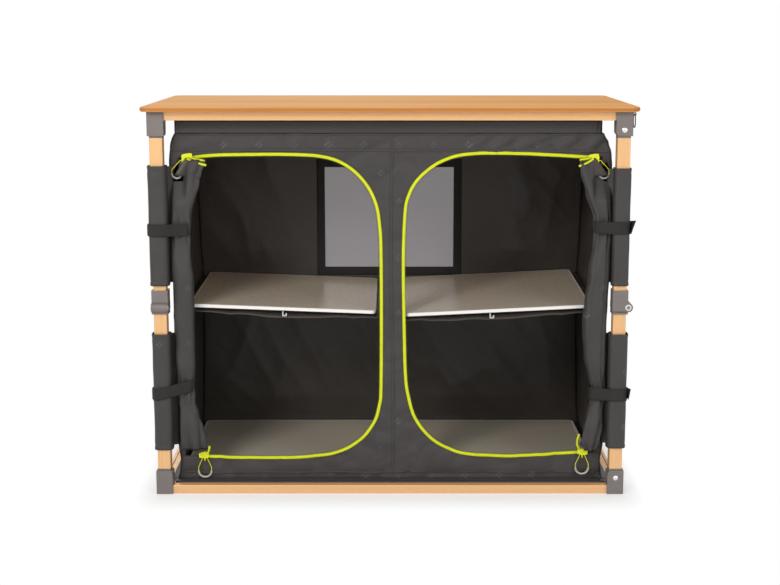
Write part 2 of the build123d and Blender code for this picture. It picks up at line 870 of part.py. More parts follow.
def zip_pull(place):
    """A loop of cord through the slider's lug, with a moulded grip round its lowest part."""
    _, slider_z, lug_x, way = slider_place(place)
    lean, width, length = zip_ends[place][3:]
    bow_x = lug_x + way * lean
    top = slider_z - slider_height / 2 - lug_length / 2
    half = width / 2
    bend = top - length + half
    rise = bend + pull_rise * length
    neck = pull_neck * lug_width
    with BuildPart() as pull:
        with BuildLine(Plane.XZ.offset(slider_middle)) as cord:
            FilletPolyline(
                (bow_x - half, bend),
                (bow_x - half, rise),
                (lug_x - neck, top),
                (lug_x + neck, top),
                (bow_x + half, rise),
                (bow_x + half, bend),
                radius=[pull_shoulder_bend, pull_neck_bend, pull_neck_bend, pull_shoulder_bend],
            )
        with BuildSketch(Plane(cord.line @ 0, z_dir=cord.line % 0)):
            RegularPolygon(cord_radius, wire_sides)
        sweep(path=cord.line)
        with BuildLine(Plane.XZ.offset(slider_middle)) as bow:
            ThreePointArc((bow_x - half, bend), (bow_x, bend - half), (bow_x + half, bend))
        with BuildSketch(Plane(bow.line @ 0, z_dir=bow.line % 0)):
            RegularPolygon(grip_radius, grip_sides)
        sweep(path=bow.line)
    return pull.part


for place in zip_ends:
    save(zip_pull(place), f"zip_pull_{place}")

# Hanging ring and the eyelet that carries it on the right front table bracket
ring_x = frame_x + ring_out
ring_z = table_under - ring_below_table
with BuildPart() as ring_eyelet:
    with BuildSketch(Plane.YZ.offset(frame_x)):
        with Locations((-leg_y, ring_z)):
            RectangleRounded(eyelet_length, eyelet_height, eyelet_corner)
    extrude(amount=eyelet_plate)
    with BuildLine(Plane.XZ.offset(leg_y)) as arch:
        base_x = frame_x + eyelet_plate / 2
        Line((base_x, ring_z + eyelet_radius), (ring_x, ring_z + eyelet_radius))
        ThreePointArc(
            (ring_x, ring_z + eyelet_radius),
            (ring_x + eyelet_radius, ring_z),
            (ring_x, ring_z - eyelet_radius),
        )
        Line((ring_x, ring_z - eyelet_radius), (base_x, ring_z - eyelet_radius))
    with BuildSketch(Plane(arch.line @ 0, z_dir=arch.line % 0)):
        RegularPolygon(eyelet_wire, wire_sides)
    sweep(path=arch.line)
save(ring_eyelet.part, "ring_eyelet")

with BuildPart() as ring:
    with BuildLine(Plane.YZ.offset(ring_x)) as half_oval:
        FilletPolyline(
            (-leg_y, ring_z),
            (-leg_y + ring_width / 2, ring_z),
            (-leg_y + ring_width / 2, ring_z - ring_height),
            (-leg_y, ring_z - ring_height),
            radius=ring_round,
        )
    with BuildSketch(Plane(half_oval.line @ 0, z_dir=half_oval.line % 0)):
        RegularPolygon(ring_wire, wire_sides)
    sweep(path=half_oval.line)
    mirror(about=Plane.XZ.offset(leg_y))
save(ring.part, "hanging_ring")
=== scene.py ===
# %% [markdown]
# # A folding camping cupboard
# The cupboard has a frame of golden tube, grey moulded corners and knees, a wood table top, and a
# dark cloth cover with two zipped doors rolled to the sides. The frame comes in as finished solids.
# The cloth, the zips and the straps are built here, because cloth is what solids show worst.

# %% Load the frame
import math
from bisect import bisect_left

import bmesh
import bpy
import numpy as np
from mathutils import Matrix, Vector, noise


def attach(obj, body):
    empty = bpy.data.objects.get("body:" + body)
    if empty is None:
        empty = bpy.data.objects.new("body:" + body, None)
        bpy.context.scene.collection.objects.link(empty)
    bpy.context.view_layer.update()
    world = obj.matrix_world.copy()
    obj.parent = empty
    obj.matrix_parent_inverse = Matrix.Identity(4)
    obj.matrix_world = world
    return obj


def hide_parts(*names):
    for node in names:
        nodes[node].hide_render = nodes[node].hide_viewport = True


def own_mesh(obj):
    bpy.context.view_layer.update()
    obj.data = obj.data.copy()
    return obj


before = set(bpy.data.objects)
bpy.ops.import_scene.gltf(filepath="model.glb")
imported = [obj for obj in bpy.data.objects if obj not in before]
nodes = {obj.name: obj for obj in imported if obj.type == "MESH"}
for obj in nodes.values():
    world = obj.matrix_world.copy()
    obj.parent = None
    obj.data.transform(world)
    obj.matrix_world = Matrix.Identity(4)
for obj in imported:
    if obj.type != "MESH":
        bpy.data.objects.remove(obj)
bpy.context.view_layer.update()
print("frame pieces:", len(nodes))

# %% [markdown]
# ## The camera
# The lens, the height and the tilt were fitted to the table top's corners, the brackets and the
# base. A long lens from three metres away keeps the uprights almost parallel. A wide lens close
# by would fill the frame too, but it would splay the legs.


# %% Camera
def add(name, data):
    """An object with that data, in the scene."""
    thing = bpy.data.objects.new(name, data)
    bpy.context.scene.collection.objects.link(thing)
    return thing


view = bpy.data.cameras.new("view")
view.sensor_width = 36.0
view.lens = 69.32
camera = add("camera", view)
camera.location = (0.0002, -3.2508, 0.9642)
camera.rotation_euler = (math.radians(90 - 10.0976), 0, 0)
bpy.context.scene.camera = camera
print("lens", view.lens, "mm")

# %% [markdown]
# ## Shader sums
# A finish is a small tree of nodes. Written as nodes it is long, and written as sums it is short.
# So a wire stands for a node's output, and plus, minus and times on it add the Math nodes. Every
# other node comes from add_node, so that a finish reads as a list of what it is made of.


# %% Wires
def feed(tree, end, value):
    """Wires a node's input, or sets it to a number or a colour."""
    if isinstance(value, Wire):
        tree.links.new(value.socket, end)
    elif isinstance(value, tuple) and end.type == "RGBA":
        end.default_value = (*value, 1)
    else:
        end.default_value = value


def add_node(tree, kind, inputs=None, out=0, **settings):
    """Adds a node of that kind, and gives one of its outputs. Its settings are set first."""
    node = tree.nodes.new("ShaderNode" + kind)
    for key, value in settings.items():
        setattr(node, key, value)
    for key, value in (inputs or {}).items():
        feed(tree, node.inputs[key], value)
    return Wire(tree, node.outputs[out]) if node.outputs else None


class Wire:
    """A node's output that can be used in a sum."""

    def __init__(self, tree, socket):
        self.tree = tree
        self.socket = socket

    def math(self, operation, *others, swapped=False):
        terms = [self, *others]
        if swapped:
            terms.reverse()
        return add_node(self.tree, "Math", dict(enumerate(terms)), operation=operation)

    def __add__(self, other):
        return self.math("ADD", other)

    def __sub__(self, other):
        return self.math("SUBTRACT", other)

    def __rsub__(self, other):
        return self.math("SUBTRACT", other, swapped=True)

    def __mul__(self, other):
        return self.math("MULTIPLY", other)

    def __truediv__(self, other):
        return self.math("DIVIDE", other)

    __radd__ = __add__
    __rmul__ = __mul__

    def waves(self, pitch):
        """A sine from -1 to 1 that repeats after that many metres."""
        return (self * (2 * math.pi / pitch)).math("SINE")

    def size(self):
        return self.math("ABSOLUTE")

    def between(self, low, high):
        """0 at low and 1 at high, held at both ends. High may be the smaller."""
        share = (self - low) / (high - low)
        return share.math("MAXIMUM", 0.0).math("MINIMUM", 1.0)


print("a wire can do:", *(key for key in vars(Wire) if not key.startswith("_")))

# %% [markdown]
# A finish holds one Principled shader. What changes over the surface feeds only its colour, its
# roughness, its opacity or its bump, and what is even all over is a plain number. Images would be
# an easier way to a pattern, but sums stay sharp at any distance and need no unwrapping.


# %% Finishes
class Finish:
    """A material under construction."""

    def __init__(self, name, **even):
        self.material = bpy.data.materials.new(name)
        self.material.use_nodes = True
        self.tree = self.material.node_tree
        self.shader = self.tree.nodes["Principled BSDF"]
        self.place = self.node("TexCoord", out="Object")
        self.x, self.y, self.z = (self.node("SeparateXYZ", {0: self.place}, k) for k in range(3))
        self.set(**even)

    def node(self, kind, inputs=None, out=0, **settings):
        return add_node(self.tree, kind, inputs, out, **settings)

    def set(self, **values):
        """Feeds the shader's sockets: base_color, roughness, and so on."""
        for key, value in values.items():
            name = key.replace("_", " ").title().replace("Ior", "IOR")
            feed(self.tree, self.shader.inputs[name], value)

    def cloud(self, scale, detail=3.0, stretch=None):
        """Smooth noise from about 0 to 1. It can be stretched along each axis."""
        place = self.place
        if stretch:
            place = self.node("VectorMath", {0: place, 1: stretch}, operation="MULTIPLY")
        return self.node("TexNoise", {"Vector": place, "Scale": scale, "Detail": detail})

    def level(self):
        """1 on level faces and 0 on upright ones."""
        return self.node("SeparateXYZ", {0: self.node("TexCoord", out="Normal")}, 2).size()

    def blend(self, share, low, high):
        """The colour low where share is 0, and high where it is 1."""
        return self.node("Mix", {0: share, 6: low, 7: high}, 2, data_type="RGBA")

    def made(self, share, low, high, rough, height=None, depth=0.0):
        """Blends low and high into its colour. Its bump is depth metres high where height is 1."""
        self.set(base_color=self.blend(share, low, high), roughness=rough)
        if height is not None:
            self.set(normal=self.node("Bump", {"Height": height, "Distance": depth}))
        return self.material


print("a finish can do:", *(key for key in vars(Finish) if not key.startswith("_")))

# %% [markdown]
# ## Cloth finishes
# The cover is coated polyester. Its yarns are half a millimetre apart, so the weave is a bump and
# not geometry, and a broad cloud keeps large panels from looking flat. Small pairs of dashes are
# printed on it, one shade lighter than the ground, on a staggered grid. The lining is the same
# cloth's coated side, and the straps are a coarser weave that shines less.

# %% Cover cloth
YARN = 0.0011


def dashes(finish, across, up, wide=0.071, high=0.058):
    """A mask of small slanted pairs of dashes on a staggered grid."""
    row = (up / high).math("FLOOR")
    column = across / wide + row.math("MODULO", 2.0) * 0.5
    u = (column - column.math("FLOOR") - 0.5) * wide
    v = (up / high - row - 0.5) * high
    along = (u + v) * 0.7071
    aside = ((v - u) * 0.7071).size() - 0.0034
    bar = aside.size().between(0.0019, 0.0011) * along.size().between(0.0075, 0.0055)
    cell = finish.node("CombineXYZ", {0: column.math("FLOOR"), 1: row})
    return bar * finish.node("TexWhiteNoise", {"Vector": cell}, noise_dimensions="2D")


def cover_cloth():
    finish = Finish("cover_cloth", specular_ior_level=0.35)
    across = finish.x + finish.y
    mask = dashes(finish, across, finish.z) * finish.cloud(90.0)
    broad = finish.cloud(7.0)
    ground = finish.blend(broad, (0.034, 0.0312, 0.0310), (0.056, 0.0515, 0.0510))
    weave = across.waves(YARN) * finish.z.waves(YARN)
    return finish.made(mask * 0.8, ground, (0.16, 0.152, 0.148), 0.42 + broad * 0.22,
                       weave * 0.12 + finish.cloud(55.0) * 1.2, 0.0006)


def lining_cloth():
    """The coated inner face: nearly black brown, smoother, with fine creases."""
    finish = Finish("lining_cloth", specular_ior_level=0.4)
    broad = finish.cloud(5.0)
    return finish.made(broad, (0.027, 0.0222, 0.0185), (0.050, 0.0415, 0.0350), 0.38 + broad * 0.2,
                       finish.cloud(26.0, 5.0), 0.0016)


def webbing_cloth():
    """Black webbing: ribs along the band, crossed by a finer weave."""
    finish = Finish("webbing", specular_ior_level=0.3)
    relief = finish.z.waves(0.0021) * 0.5 + (finish.x + finish.y).waves(0.0013) * 0.2 + 0.5
    return finish.made(finish.cloud(30.0), (0.016, 0.015, 0.015), (0.032, 0.030, 0.029), 0.7,
                       relief, 0.0005)


outer = cover_cloth()
lining = lining_cloth()
webbing = webbing_cloth()
print("cloth finishes:", outer.name, lining.name, webbing.name)

# %% [markdown]
# ## Metal, moulding and boards
# The tubes and rails are golden anodised aluminium with faint drawing lines along their length.
# The corners and knees are grey nylon with a fine spark grain. A pure metal would turn black where
# it mirrors the dark cloth, so the gold is mostly paint-like with a part of metal.


# %% Metal and moulding
def anodised(name, stretch):
    """Satin golden metal, drawn along the axis with the smallest stretch."""
    finish = Finish(name, metallic=0.35, specular_ior_level=0.4)
    lines = finish.cloud(1.0, 4.0, stretch)
    return finish.made(lines, (0.74, 0.42, 0.185), (0.86, 0.53, 0.265),
                       0.30 + lines * 0.14 + finish.cloud(6.0) * 0.06, lines, 0.00004)


def moulded(name, dark, light, gloss):
    finish = Finish(name, specular_ior_level=0.45)
    grain = finish.cloud(900.0, 2.0)
    return finish.made(finish.cloud(18.0), dark, light, gloss + grain * 0.15, grain, 0.00012)


def plated(name, colour, rough):
    finish = Finish(name, metallic=1.0)
    wear = finish.cloud(300.0)
    return finish.made(wear, tuple(0.85 * c for c in colour), colour, rough + wear * 0.12)


rail_metal = anodised("anodised_rail", (3, 400, 400))
side_metal = anodised("anodised_side_rail", (400, 3, 400))
tube_metal = anodised("anodised_tube", (400, 400, 3))
moulding = moulded("grey_moulding", (0.150, 0.130, 0.122), (0.205, 0.181, 0.172), 0.40)
rivet_metal = plated("rivet_steel", (0.80, 0.79, 0.77), 0.22)
ring_metal = plated("ring_steel", (0.050, 0.042, 0.036), 0.42)
print("finishes so far:", len(bpy.data.materials))

# %% [markdown]
# The table top is a bamboo print with a brown edge, and the loose boards are glossy laminate with a
# white edge. The fibres are noise that is stretched along the board, which is quicker to set than a
# drawn grain and has no repeats. The edges are found by the way that a face looks.


# %% Top and boards
def bamboo():
    """Long pale and dark fibres along X, laid in strips, under a satin lacquer."""
    finish = Finish("bamboo_top", specular_ior_level=0.03)
    fibres = finish.cloud(1.0, 6.0, (5, 260, 260))
    drift = finish.cloud(1.0, 2.0, (1.2, 12, 12))
    strip = (finish.y / 0.021).math("FLOOR")
    shade = finish.node("TexWhiteNoise", {"W": strip}, noise_dimensions="1D")
    mixed = fibres * 0.55 + drift * 0.3 + shade * 0.15
    layers = finish.z.waves(0.0034) * 0.5 + 0.5
    edge = finish.level().between(0.8, 0.3)
    top = finish.blend(mixed.between(0.25, 0.75), (0.58, 0.265, 0.080), (0.84, 0.450, 0.165))
    rim = finish.blend(layers * 0.5 + fibres * 0.5, (0.36, 0.125, 0.028), (0.60, 0.26, 0.08))
    return finish.made(edge, top, rim, 0.55 + fibres * 0.16, fibres + layers * edge, 0.00012)


def laminate(name, end):
    """Glossy grey-beige faces with a white edge band, and a pale line along the top's edges that is
    partly the band's top and partly a painted highlight. The board's far end is at x = end.
    """
    finish = Finish(name, specular_ior_level=0.6)
    edge = finish.level().between(0.93, 0.75)
    speckle = finish.cloud(700.0, 2.0)
    ground = finish.blend(speckle, (0.50, 0.44, 0.35), (0.60, 0.54, 0.44))
    # A thin pale line on the top, along its front, back and far edges: partly the top of the white edge
    # band, partly a painted highlight where the edge catches light.
    rim = edge.math("MAXIMUM", finish.y.size().between(0.1842, 0.1852) * 0.7)
    rim = rim.math("MAXIMUM", finish.x.size().between(end - 0.0050, end - 0.0040) * 0.7)
    return finish.made(rim, ground, (0.86, 0.84, 0.82), 0.24 + speckle * 0.06 + edge * 0.15,
                       speckle, 0.00002)


wood = bamboo()
floor_board = laminate("laminate_floor_board", 0.4300)
shelf_board = laminate("laminate_shelf_board", 0.4165)
print("boards:", wood.name, floor_board.name, shelf_board.name)

# %% [markdown]
# ## Lime zips, net and grips
# The zip is lime all over, so its teeth show only by their relief. The net of the window is fine
# enough to look like a grey veil, so it is one thin sheet whose opacity follows the threads. Real
# threads as geometry would be tens of thousands of faces that nobody sees singly.


# %% Small finishes
def lime_zip():
    finish = Finish("lime_zip", specular_ior_level=0.4)
    return finish.made(finish.cloud(160.0), (0.66, 0.72, 0.006), (0.80, 0.86, 0.016), 0.5,
                       finish.cloud(1400.0), 0.0002)


def zip_tape():
    """The edges of the tape, a darker shade of the teeth."""
    finish = Finish("zip_tape", specular_ior_level=0.3)
    return finish.made(finish.cloud(160.0), (0.20, 0.24, 0.004), (0.30, 0.35, 0.008), 0.6)


def pull_finish(name, grip_top):
    """Lime cord above that height, and a pale ribbed grip below it."""
    finish = Finish(name, specular_ior_level=0.5)
    grip = finish.z.between(grip_top + 0.0006, grip_top - 0.0006)
    ribs = finish.z.waves(0.0022) * 0.5 + 0.5
    twist = (finish.z + finish.x).waves(0.0016) * 0.5 + 0.5
    pale = finish.blend(ribs * 0.4, (0.47, 0.46, 0.40), (0.33, 0.33, 0.29))
    return finish.made(grip, (0.70, 0.77, 0.012), pale, 0.62 - grip * 0.25,
                       grip * ribs + (1 - grip) * twist, 0.00018)


def window_net():
    finish = Finish("window_net", specular_ior_level=0.2)
    threads = finish.x.waves(0.0017).math("MAXIMUM", finish.z.waves(0.0017))
    finish.set(alpha=0.64 + threads.between(-0.2, 0.9) * 0.36)
    return finish.made(threads.between(0, 1), (0.17, 0.145, 0.17), (0.25, 0.22, 0.25), 0.6)


lime = lime_zip()
tape = zip_tape()
net = window_net()
print("small finishes:", lime.name, tape.name, net.name)

# %% [markdown]
# ## Finishes on the solid pieces
# The frame's own solids already have the right form, so each only gets its finish. The grain of a
# rail has to run along it, so the long rails, the short rails and the tubes have one each.

# %% Dress the solids
corners = {"front_right": (1, -1), "back_right": (1, 1), "back_left": (-1, 1), "front_left": (-1, -1)}
grip_tops = {"lower_left": 0.0400, "lower_right": 0.0470, "upper_left": 0.6675, "upper_right": 0.6675}
dress = [
    (wood, "tabletop"),
    (rail_metal, "base_rails_long top_rails_long"),
    (side_metal, "base_rails_short top_rails_short"),
    (moulding, "base_feet top_corners ring_eyelet"),
    (rivet_metal, "foot_pins top_pins"),
    (floor_board, "floor_boards"),
    (shelf_board, "shelf_board_left shelf_board_right"),
    (moulded("hook_plastic", (0.42, 0.42, 0.41), (0.55, 0.55, 0.54), 0.35), "shelf_hooks"),
    (ring_metal, "hanging_ring"),
]
dress += [(pull_finish(f"pull_{place}", top), f"zip_pull_{place}") for place, top in grip_tops.items()]
for corner in corners:
    dress.append((rivet_metal, f"{corner}_knee_rivet"))
    dress.append((tube_metal, f"{corner}_lower_tube {corner}_upper_tube"))
    dress.append((moulding, f"{corner}_lower_fittings {corner}_upper_fittings"))
for finish, names in dress:
    for name in names.split():
        nodes[name].data.materials.clear()
        nodes[name].data.materials.append(finish)
print("dressed solids:", sum(len(names.split()) for _, names in dress))

# %% [markdown]
# ## Folds and outlines
# Cloth never hangs quite flat. A simulation would give true folds but other ones each time, and
# they couldn't be set beside the photograph. So smooth noise makes the slack, and noise with its
# peaks sharpened makes the creases. Outlines measured from the photograph are curves in a table.

# %% Folds and curves
CLOTH = 0.0012


def clamp(value):
    """The value, held between 0 and 1."""
    return max(0.0, min(1.0, value))


def near(value, middle, reach):
    """1 at the middle, falling evenly to 0 at that reach on both sides."""
    return max(0.0, 1 - abs(value - middle) / reach)


def ripple(x, y, z, scale, seed=0.0):
    """Smooth noise from -1 to 1."""
    return noise.noise(Vector((x * scale + seed, y * scale - seed, z * scale + 0.37 * seed)))


def crease(x, y, z, scale, seed=0.0):
    """Sharp-topped folds from 0 to 1."""
    return (1 - abs(ripple(x, y, z, scale, seed))) ** 3


def table_of(values):
    """A smooth curve through (height, value) pairs in mm, for a height in metres."""
    heights, sizes = ([v / 1000 for v in column] for column in zip(*values))

    def at(z):
        k = bisect_left(heights, z)
        if k in (0, len(sizes)):
            return sizes[max(0, k - 1)]
        t = (z - heights[k - 1]) / (heights[k] - heights[k - 1])
        return sizes[k - 1] + (sizes[k] - sizes[k - 1]) * t * t * (3 - 2 * t)

    return at


print("cloth:", CLOTH * 1000, "mm thick")

# %% [markdown]
# Zips, straps and seams follow lines. A curve object could carry them, but their sections change
# along the way, so the lines are plain arrays of points in even steps.


# %% Lines
def run_along(line):
    """How far along a line each of its points is."""
    return np.concatenate([[0], np.cumsum(np.linalg.norm(np.diff(line, axis=0), axis=1))])


def points_at(line, places):
    """The line's points after those distances."""
    run = run_along(line)
    return np.stack([np.interp(places, run, column) for column in line.T], axis=-1)


def smooth_line(points, step=0.004):
    """A rounded line through points, divided into short steps."""
    p = np.array(points, float)
    p = np.vstack([2 * p[0] - p[1], p, 2 * p[-1] - p[-2]])
    fine = []
    for a, b, c, d in zip(p, p[1:], p[2:], p[3:]):
        for t in np.linspace(0, 1, 14, endpoint=False):
            curve = (2 * a - 5 * b + 4 * c - d) * t**2 + (3 * b - a - 3 * c + d) * t**3
            fine.append(0.5 * (2 * b + (c - a) * t + curve))
    fine = np.array([*fine, p[-2]])
    long_ = run_along(fine)[-1]
    return points_at(fine, np.linspace(0, long_, max(2, round(long_ / step))))


def closed_line(points, step, passes):
    """A closed line in even steps, softened at its corners that many times."""
    loop = np.vstack([points, points[:1]])
    long_ = run_along(loop)[-1]
    line = points_at(loop, np.linspace(0, long_, int(long_ / step), endpoint=False))
    for _ in range(passes):
        line = 0.5 * line + 0.25 * (np.roll(line, 1, axis=0) + np.roll(line, -1, axis=0))
    return line


def inside(outline, x, z):
    """Whether a point lies within a closed outline."""
    ax, az = outline.T
    bx, bz = np.roll(ax, -1), np.roll(az, -1)
    crosses = (az > z) != (bz > z)
    where = ax + (z - az) / np.where(bz == az, 1e-9, bz - az) * (bx - ax)
    return bool(np.count_nonzero(crosses & (x < where)) % 2)


def nearest_on(line, x, z):
    """The line's point nearest to (x, z), seen from the front."""
    return line[int(np.argmin((line[:, 0] - x) ** 2 + (line[:, -1] - z) ** 2))]


print("a square's run:", run_along(np.array([(0, 0), (1, 0), (1, 1), (0, 1)]))[-1])

# %% [markdown]
# ## Building cloth
# A mesh is a list of points, row after row, and quads says which four of them make each face. Every
# panel is such a grid. A place function lifts it into space, so one function gives the whole drape,
# and a thin Solidify gives it a lining on its other side. A panel with a door keeps only the quads
# outside the door's line, and the grid's points beside that line are drawn onto it. A Boolean
# would cut the door too, but it leaves long thin faces that shade badly on slack cloth.


# %% Meshes of cloth
def quads(rows, wide, around=False, turned=False, total=0):
    """The faces over rows of points. Rows may close, and so may the whole grid of total points."""
    faces = []
    total = total or rows * wide
    for a in range(0, (rows - 1) * wide, wide):
        for i in range(wide if around else wide - 1):
            m = (i + 1) % wide
            face = (a + i, a + m, a + wide + m, a + wide + i)
            if turned:
                face = (face[0], *face[:0:-1])
            faces.append([k % total for k in face])
    return faces


def finish_mesh(name, made, materials, smooth=True):
    """Turns a bmesh, or points and faces, into an object with its materials."""
    mesh = bpy.data.meshes.new(name)
    if isinstance(made, bmesh.types.BMesh):
        made.to_mesh(mesh)
        made.free()
    else:
        mesh.from_pydata([tuple(p) for p in made[0]], [], made[1])
    for material in materials:
        mesh.materials.append(material)
    if smooth:
        mesh.shade_smooth()
    return add(name, mesh)


def cloth(name, points, faces, materials=(outer, lining), thickness=CLOTH, offset=0.0):
    """A sheet with its thickness. A second material goes on the side away from its normals."""
    piece = finish_mesh(name, (points, faces), materials)
    shell = piece.modifiers.new("thickness", "SOLIDIFY")
    shell.thickness = thickness
    shell.offset = offset
    shell.material_offset = len(materials) - 1
    return piece


def panel(name, columns, rows, place, keep=None, snap=None, materials=(outer, lining)):
    """A cloth panel over a grid. Columns and rows are each a start, an end and a count."""
    columns, rows = np.linspace(*columns), np.linspace(*rows)
    flat = [(u, v) for v in rows for u in columns]
    middles = [(u, v) for v in (rows[:-1] + rows[1:]) / 2 for u in (columns[:-1] + columns[1:]) / 2]
    faces = [
        face for face, middle in zip(quads(len(rows), len(columns)), middles)
        if keep is None or keep(*middle)
    ]
    if snap is not None:
        uses = np.bincount(np.ravel(faces), minlength=len(flat))
        flat = [snap(*p) if 0 < n < 4 else p for p, n in zip(flat, uses)]
    used = sorted({k for face in faces for k in face})
    order = {k: n for n, k in enumerate(used)}
    return cloth(name, [place(*flat[k]) for k in used], [[order[k] for k in f] for f in faces], materials)


print("two rows of four points make the quads", *quads(2, 4))

# %% [markdown]
# ## The doors' lines
# Each door is cut along its zip: across the top, round and down beside the middle, round again and
# back along the bottom. The two are alike but not the same, since cloth is sewn and pulled by hand.

# %% Zip lines
zip_points = {
    "left": [
        (-418, 697), (-353, 703.8), (-247, 705.6), (-178, 704.4), (-144, 701.7), (-107.5, 692.4),
        (-73, 671), (-45.5, 639.6), (-27.8, 601), (-21, 558), (-18.3, 505), (-17.6, 365),
        (-18.6, 218), (-22, 180), (-33, 144), (-60.7, 107.3), (-100.8, 83), (-149, 71.7),
        (-221, 67.1), (-316, 67.1), (-387, 71),
    ],
    "right": [
        (421, 699), (307, 705.4), (215, 708), (160.6, 706.2), (124, 699), (89.7, 682.6),
        (56.2, 653.5), (38, 621), (30.9, 584), (27.6, 491), (29.2, 361), (32.3, 246),
        (39, 197), (54, 150), (88, 107.6), (128.5, 84.3), (166, 74.5), (242, 70.6),
        (318, 73.4), (396, 78.6),
    ],
}
door_edge = {"left": -0.4305, "right": 0.4325}
zip_lines, doors = {}, {}
for side, points in zip_points.items():
    line = smooth_line(np.array(points) / 1000, 0.003)
    zip_lines[side] = line
    doors[side] = np.vstack([line, [(door_edge[side], line[-1][1]), (door_edge[side], line[0][1])]])
    print(side, "zip runs", round(float(run_along(line)[-1]), 3), "m")

# %% [markdown]
# ## The front panel
# The front is pulled tight between the table frame and the base frame. It draws in at the lower
# corners, rounds off at the upper ones, and creases slantwise above the right door, where the
# band pulls on it. Its outline comes from tables, so each corner can be set by itself.

# %% Front panel
left_edge = table_of([
    (18, -446), (40, -442), (62, -440), (100, -444), (140, -446), (200, -447),
    (400, -447), (600, -449), (690, -449), (725, -446), (742, -441), (748, -437),
])
right_edge = table_of([
    (18, 447), (40, 444), (62, 442), (100, 447), (140, 448), (200, 447),
    (400, 447), (600, 450), (680, 452), (708, 450), (728, 444), (748, 434),
])
FRONT = -0.1972
COVER_LOW, COVER_HIGH = 0.0186, 0.7478


def front_bulge(x, z):
    """How far the front cloth stands out of its plane."""
    out = 0.0022 * ripple(x, 0, z, 5.5, 3.0) + 0.0012 * ripple(x, 0, z, 21.0, 9.0)
    out -= 0.0036 * crease(x + 0.6 * z, 0, z - 0.5 * x, 13.0, 12.0)
    out -= 0.0020 * crease(x - 0.8 * z, 0, z + 0.4 * x, 24.0, 17.0)
    out += 0.0012 * crease(x, 0, z, 14.0, 1.0) * near(z, 0.045, 0.03)
    pull = clamp((x - 0.10) / 0.15) * near(z, 0.728, 0.024)
    out += 0.0050 * pull * math.sin((x - 1.2 * z) * 105 + 2 * ripple(x, 0, z, 9.0))
    out += 0.0010 * crease(x + z, 0, 0.3 * z, 10.0, 7.0) * near(z, 0.73, 0.03)
    return out + 0.0016 * crease(x, 0, 0.2 * z, 19.0, 5.0) * near(x, 0.006, 0.02)


def front_half(way, z):
    """How far the front reaches on one side, 1 for the right and -1 for the left."""
    return right_edge(z) if way > 0 else -left_edge(z)


def front_place(u, v):
    """u goes from -1 at the left edge to 1 at the right edge, and v is the height."""
    x = u * front_half(u, v)
    return (x, FRONT - front_bulge(x, v), v)


def front_keep(u, v):
    x = u * front_half(u, v)
    return not any(inside(doors[side], x, v) for side in doors)


def front_snap(u, v):
    """Draws the doors' points onto the doors' lines."""
    if v < 0.03 or v > 0.74 or abs(u) > 0.985:
        return u, v
    x = u * front_half(u, v)
    side = "left" if x < 0.005 else "right"
    steps = np.linspace(0, 1, 40)[:, None]
    ends = np.vstack([doors[side], doors[side][:1]])[-4:]
    border = np.vstack([zip_lines[side], *[a + (b - a) * steps for a, b in zip(ends, ends[1:])]])
    near_x, near_z = nearest_on(border, x, v)
    return near_x / front_half(near_x, near_z), near_z


front = panel("front_panel", (-1, 1, 181), (COVER_LOW, COVER_HIGH, 147),
              front_place, front_keep, front_snap)
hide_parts("cover_front")
print("front panel:", len(front.data.polygons), "quads")

# %% [markdown]
# ## Side and back panels
# The side walls hang slack between the corners, and sag inwards where the shelf pulls on them. The
# back has a window of net. Both are made like the front, but held off where a board's edge or the
# window keeps them straight, because slack cloth would cut through the boards there.

# %% Side and back panels
back_half = table_of([
    (18, 446), (100, 441), (250, 437), (390, 436), (500, 441), (650, 446), (748, 438),
])
BACK = 0.1972
BOARD_HEIGHTS = (0.045, 0.392)


def side_place(way):
    """u goes from the front corner to the back corner, and v is the height."""

    def place(u, v):
        front_x = front_half(way, v)
        x = front_x + (back_half(v) - front_x) * u
        y = FRONT + (BACK - FRONT) * u
        hang = math.sin(math.pi * u) * math.sin(math.pi * (v - 0.018) / 0.73)
        sag = 0.007 * hang + 0.003 * ripple(x * way, y, v, 7.0, 2.0 + way) * math.sin(math.pi * u)
        sag += 0.002 * crease(0, y, v, 11.0, 4.0 + way) * hang
        return (way * (x - sag), y, v)

    return place


def back_place(u, v):
    """The back hangs slack, but not beside the window, nor where a board's edge touches it."""
    x = u * back_half(v)
    slack = clamp((abs(x) - 0.19) / 0.1) if 0.36 < v < 0.70 else 1.0
    slack *= math.sqrt(max(0.0, math.sin(math.pi * (u + 1) / 2)))
    for board in BOARD_HEIGHTS:
        slack *= clamp(abs(v - board) / 0.05 - 0.2)
    y = BACK - CLOTH - 0.006 * slack * (0.5 + 0.5 * ripple(x, 0, v, 5.0, 8.0))
    y -= 0.0050 * slack * crease(x, 0, 0.6 * v, 8.0, 6.0)
    y -= 0.0030 * slack * crease(x + 0.7 * v, 0, 0.3 * v, 13.0, 2.0)
    return (x, y, v)


def wall_x(way, y, z, gap=0.0008):
    """How far out the inside of a side wall is."""
    return side_place(way)((y - FRONT) / (BACK - FRONT), z)[0] - way * gap


window = (-0.150, 0.147, 0.411, 0.643)


def window_snap(u, v):
    """Draws the hole's points onto the window's edge."""
    if abs(u) > 0.6 or v < 0.1 or v > 0.72:
        return u, v
    x0, x1, z0, z1 = window
    half = back_half(v)
    x = min(max(u * half, x0), x1)
    z = min(max(v, z0), z1)
    side = min([(x - x0, 0), (x1 - x, 1), (z - z0, 2), (z1 - z, 3)])[1]
    return (x0, x1, x, x)[side] / half, (z, z, z0, z1)[side]


def back_keep(u, v):
    return not (window[0] < u * back_half(v) < window[1] and window[2] < v < window[3])


left_wall, right_wall = (
    panel(name, (0.002, 1.0, 48), (COVER_LOW, COVER_HIGH, 92), side_place(way))
    for name, way in (("side_left", -1), ("side_right", 1))
)
left_wall.data.flip_normals()
back = panel("back_panel", (-1.0, 1.0, 150), (COVER_LOW, COVER_HIGH, 122),
             back_place, back_keep, window_snap, (lining, outer))
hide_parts("cover_sides")
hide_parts("cover_back")
print("walls:", len(left_wall.data.polygons), len(back.data.polygons), "quads")

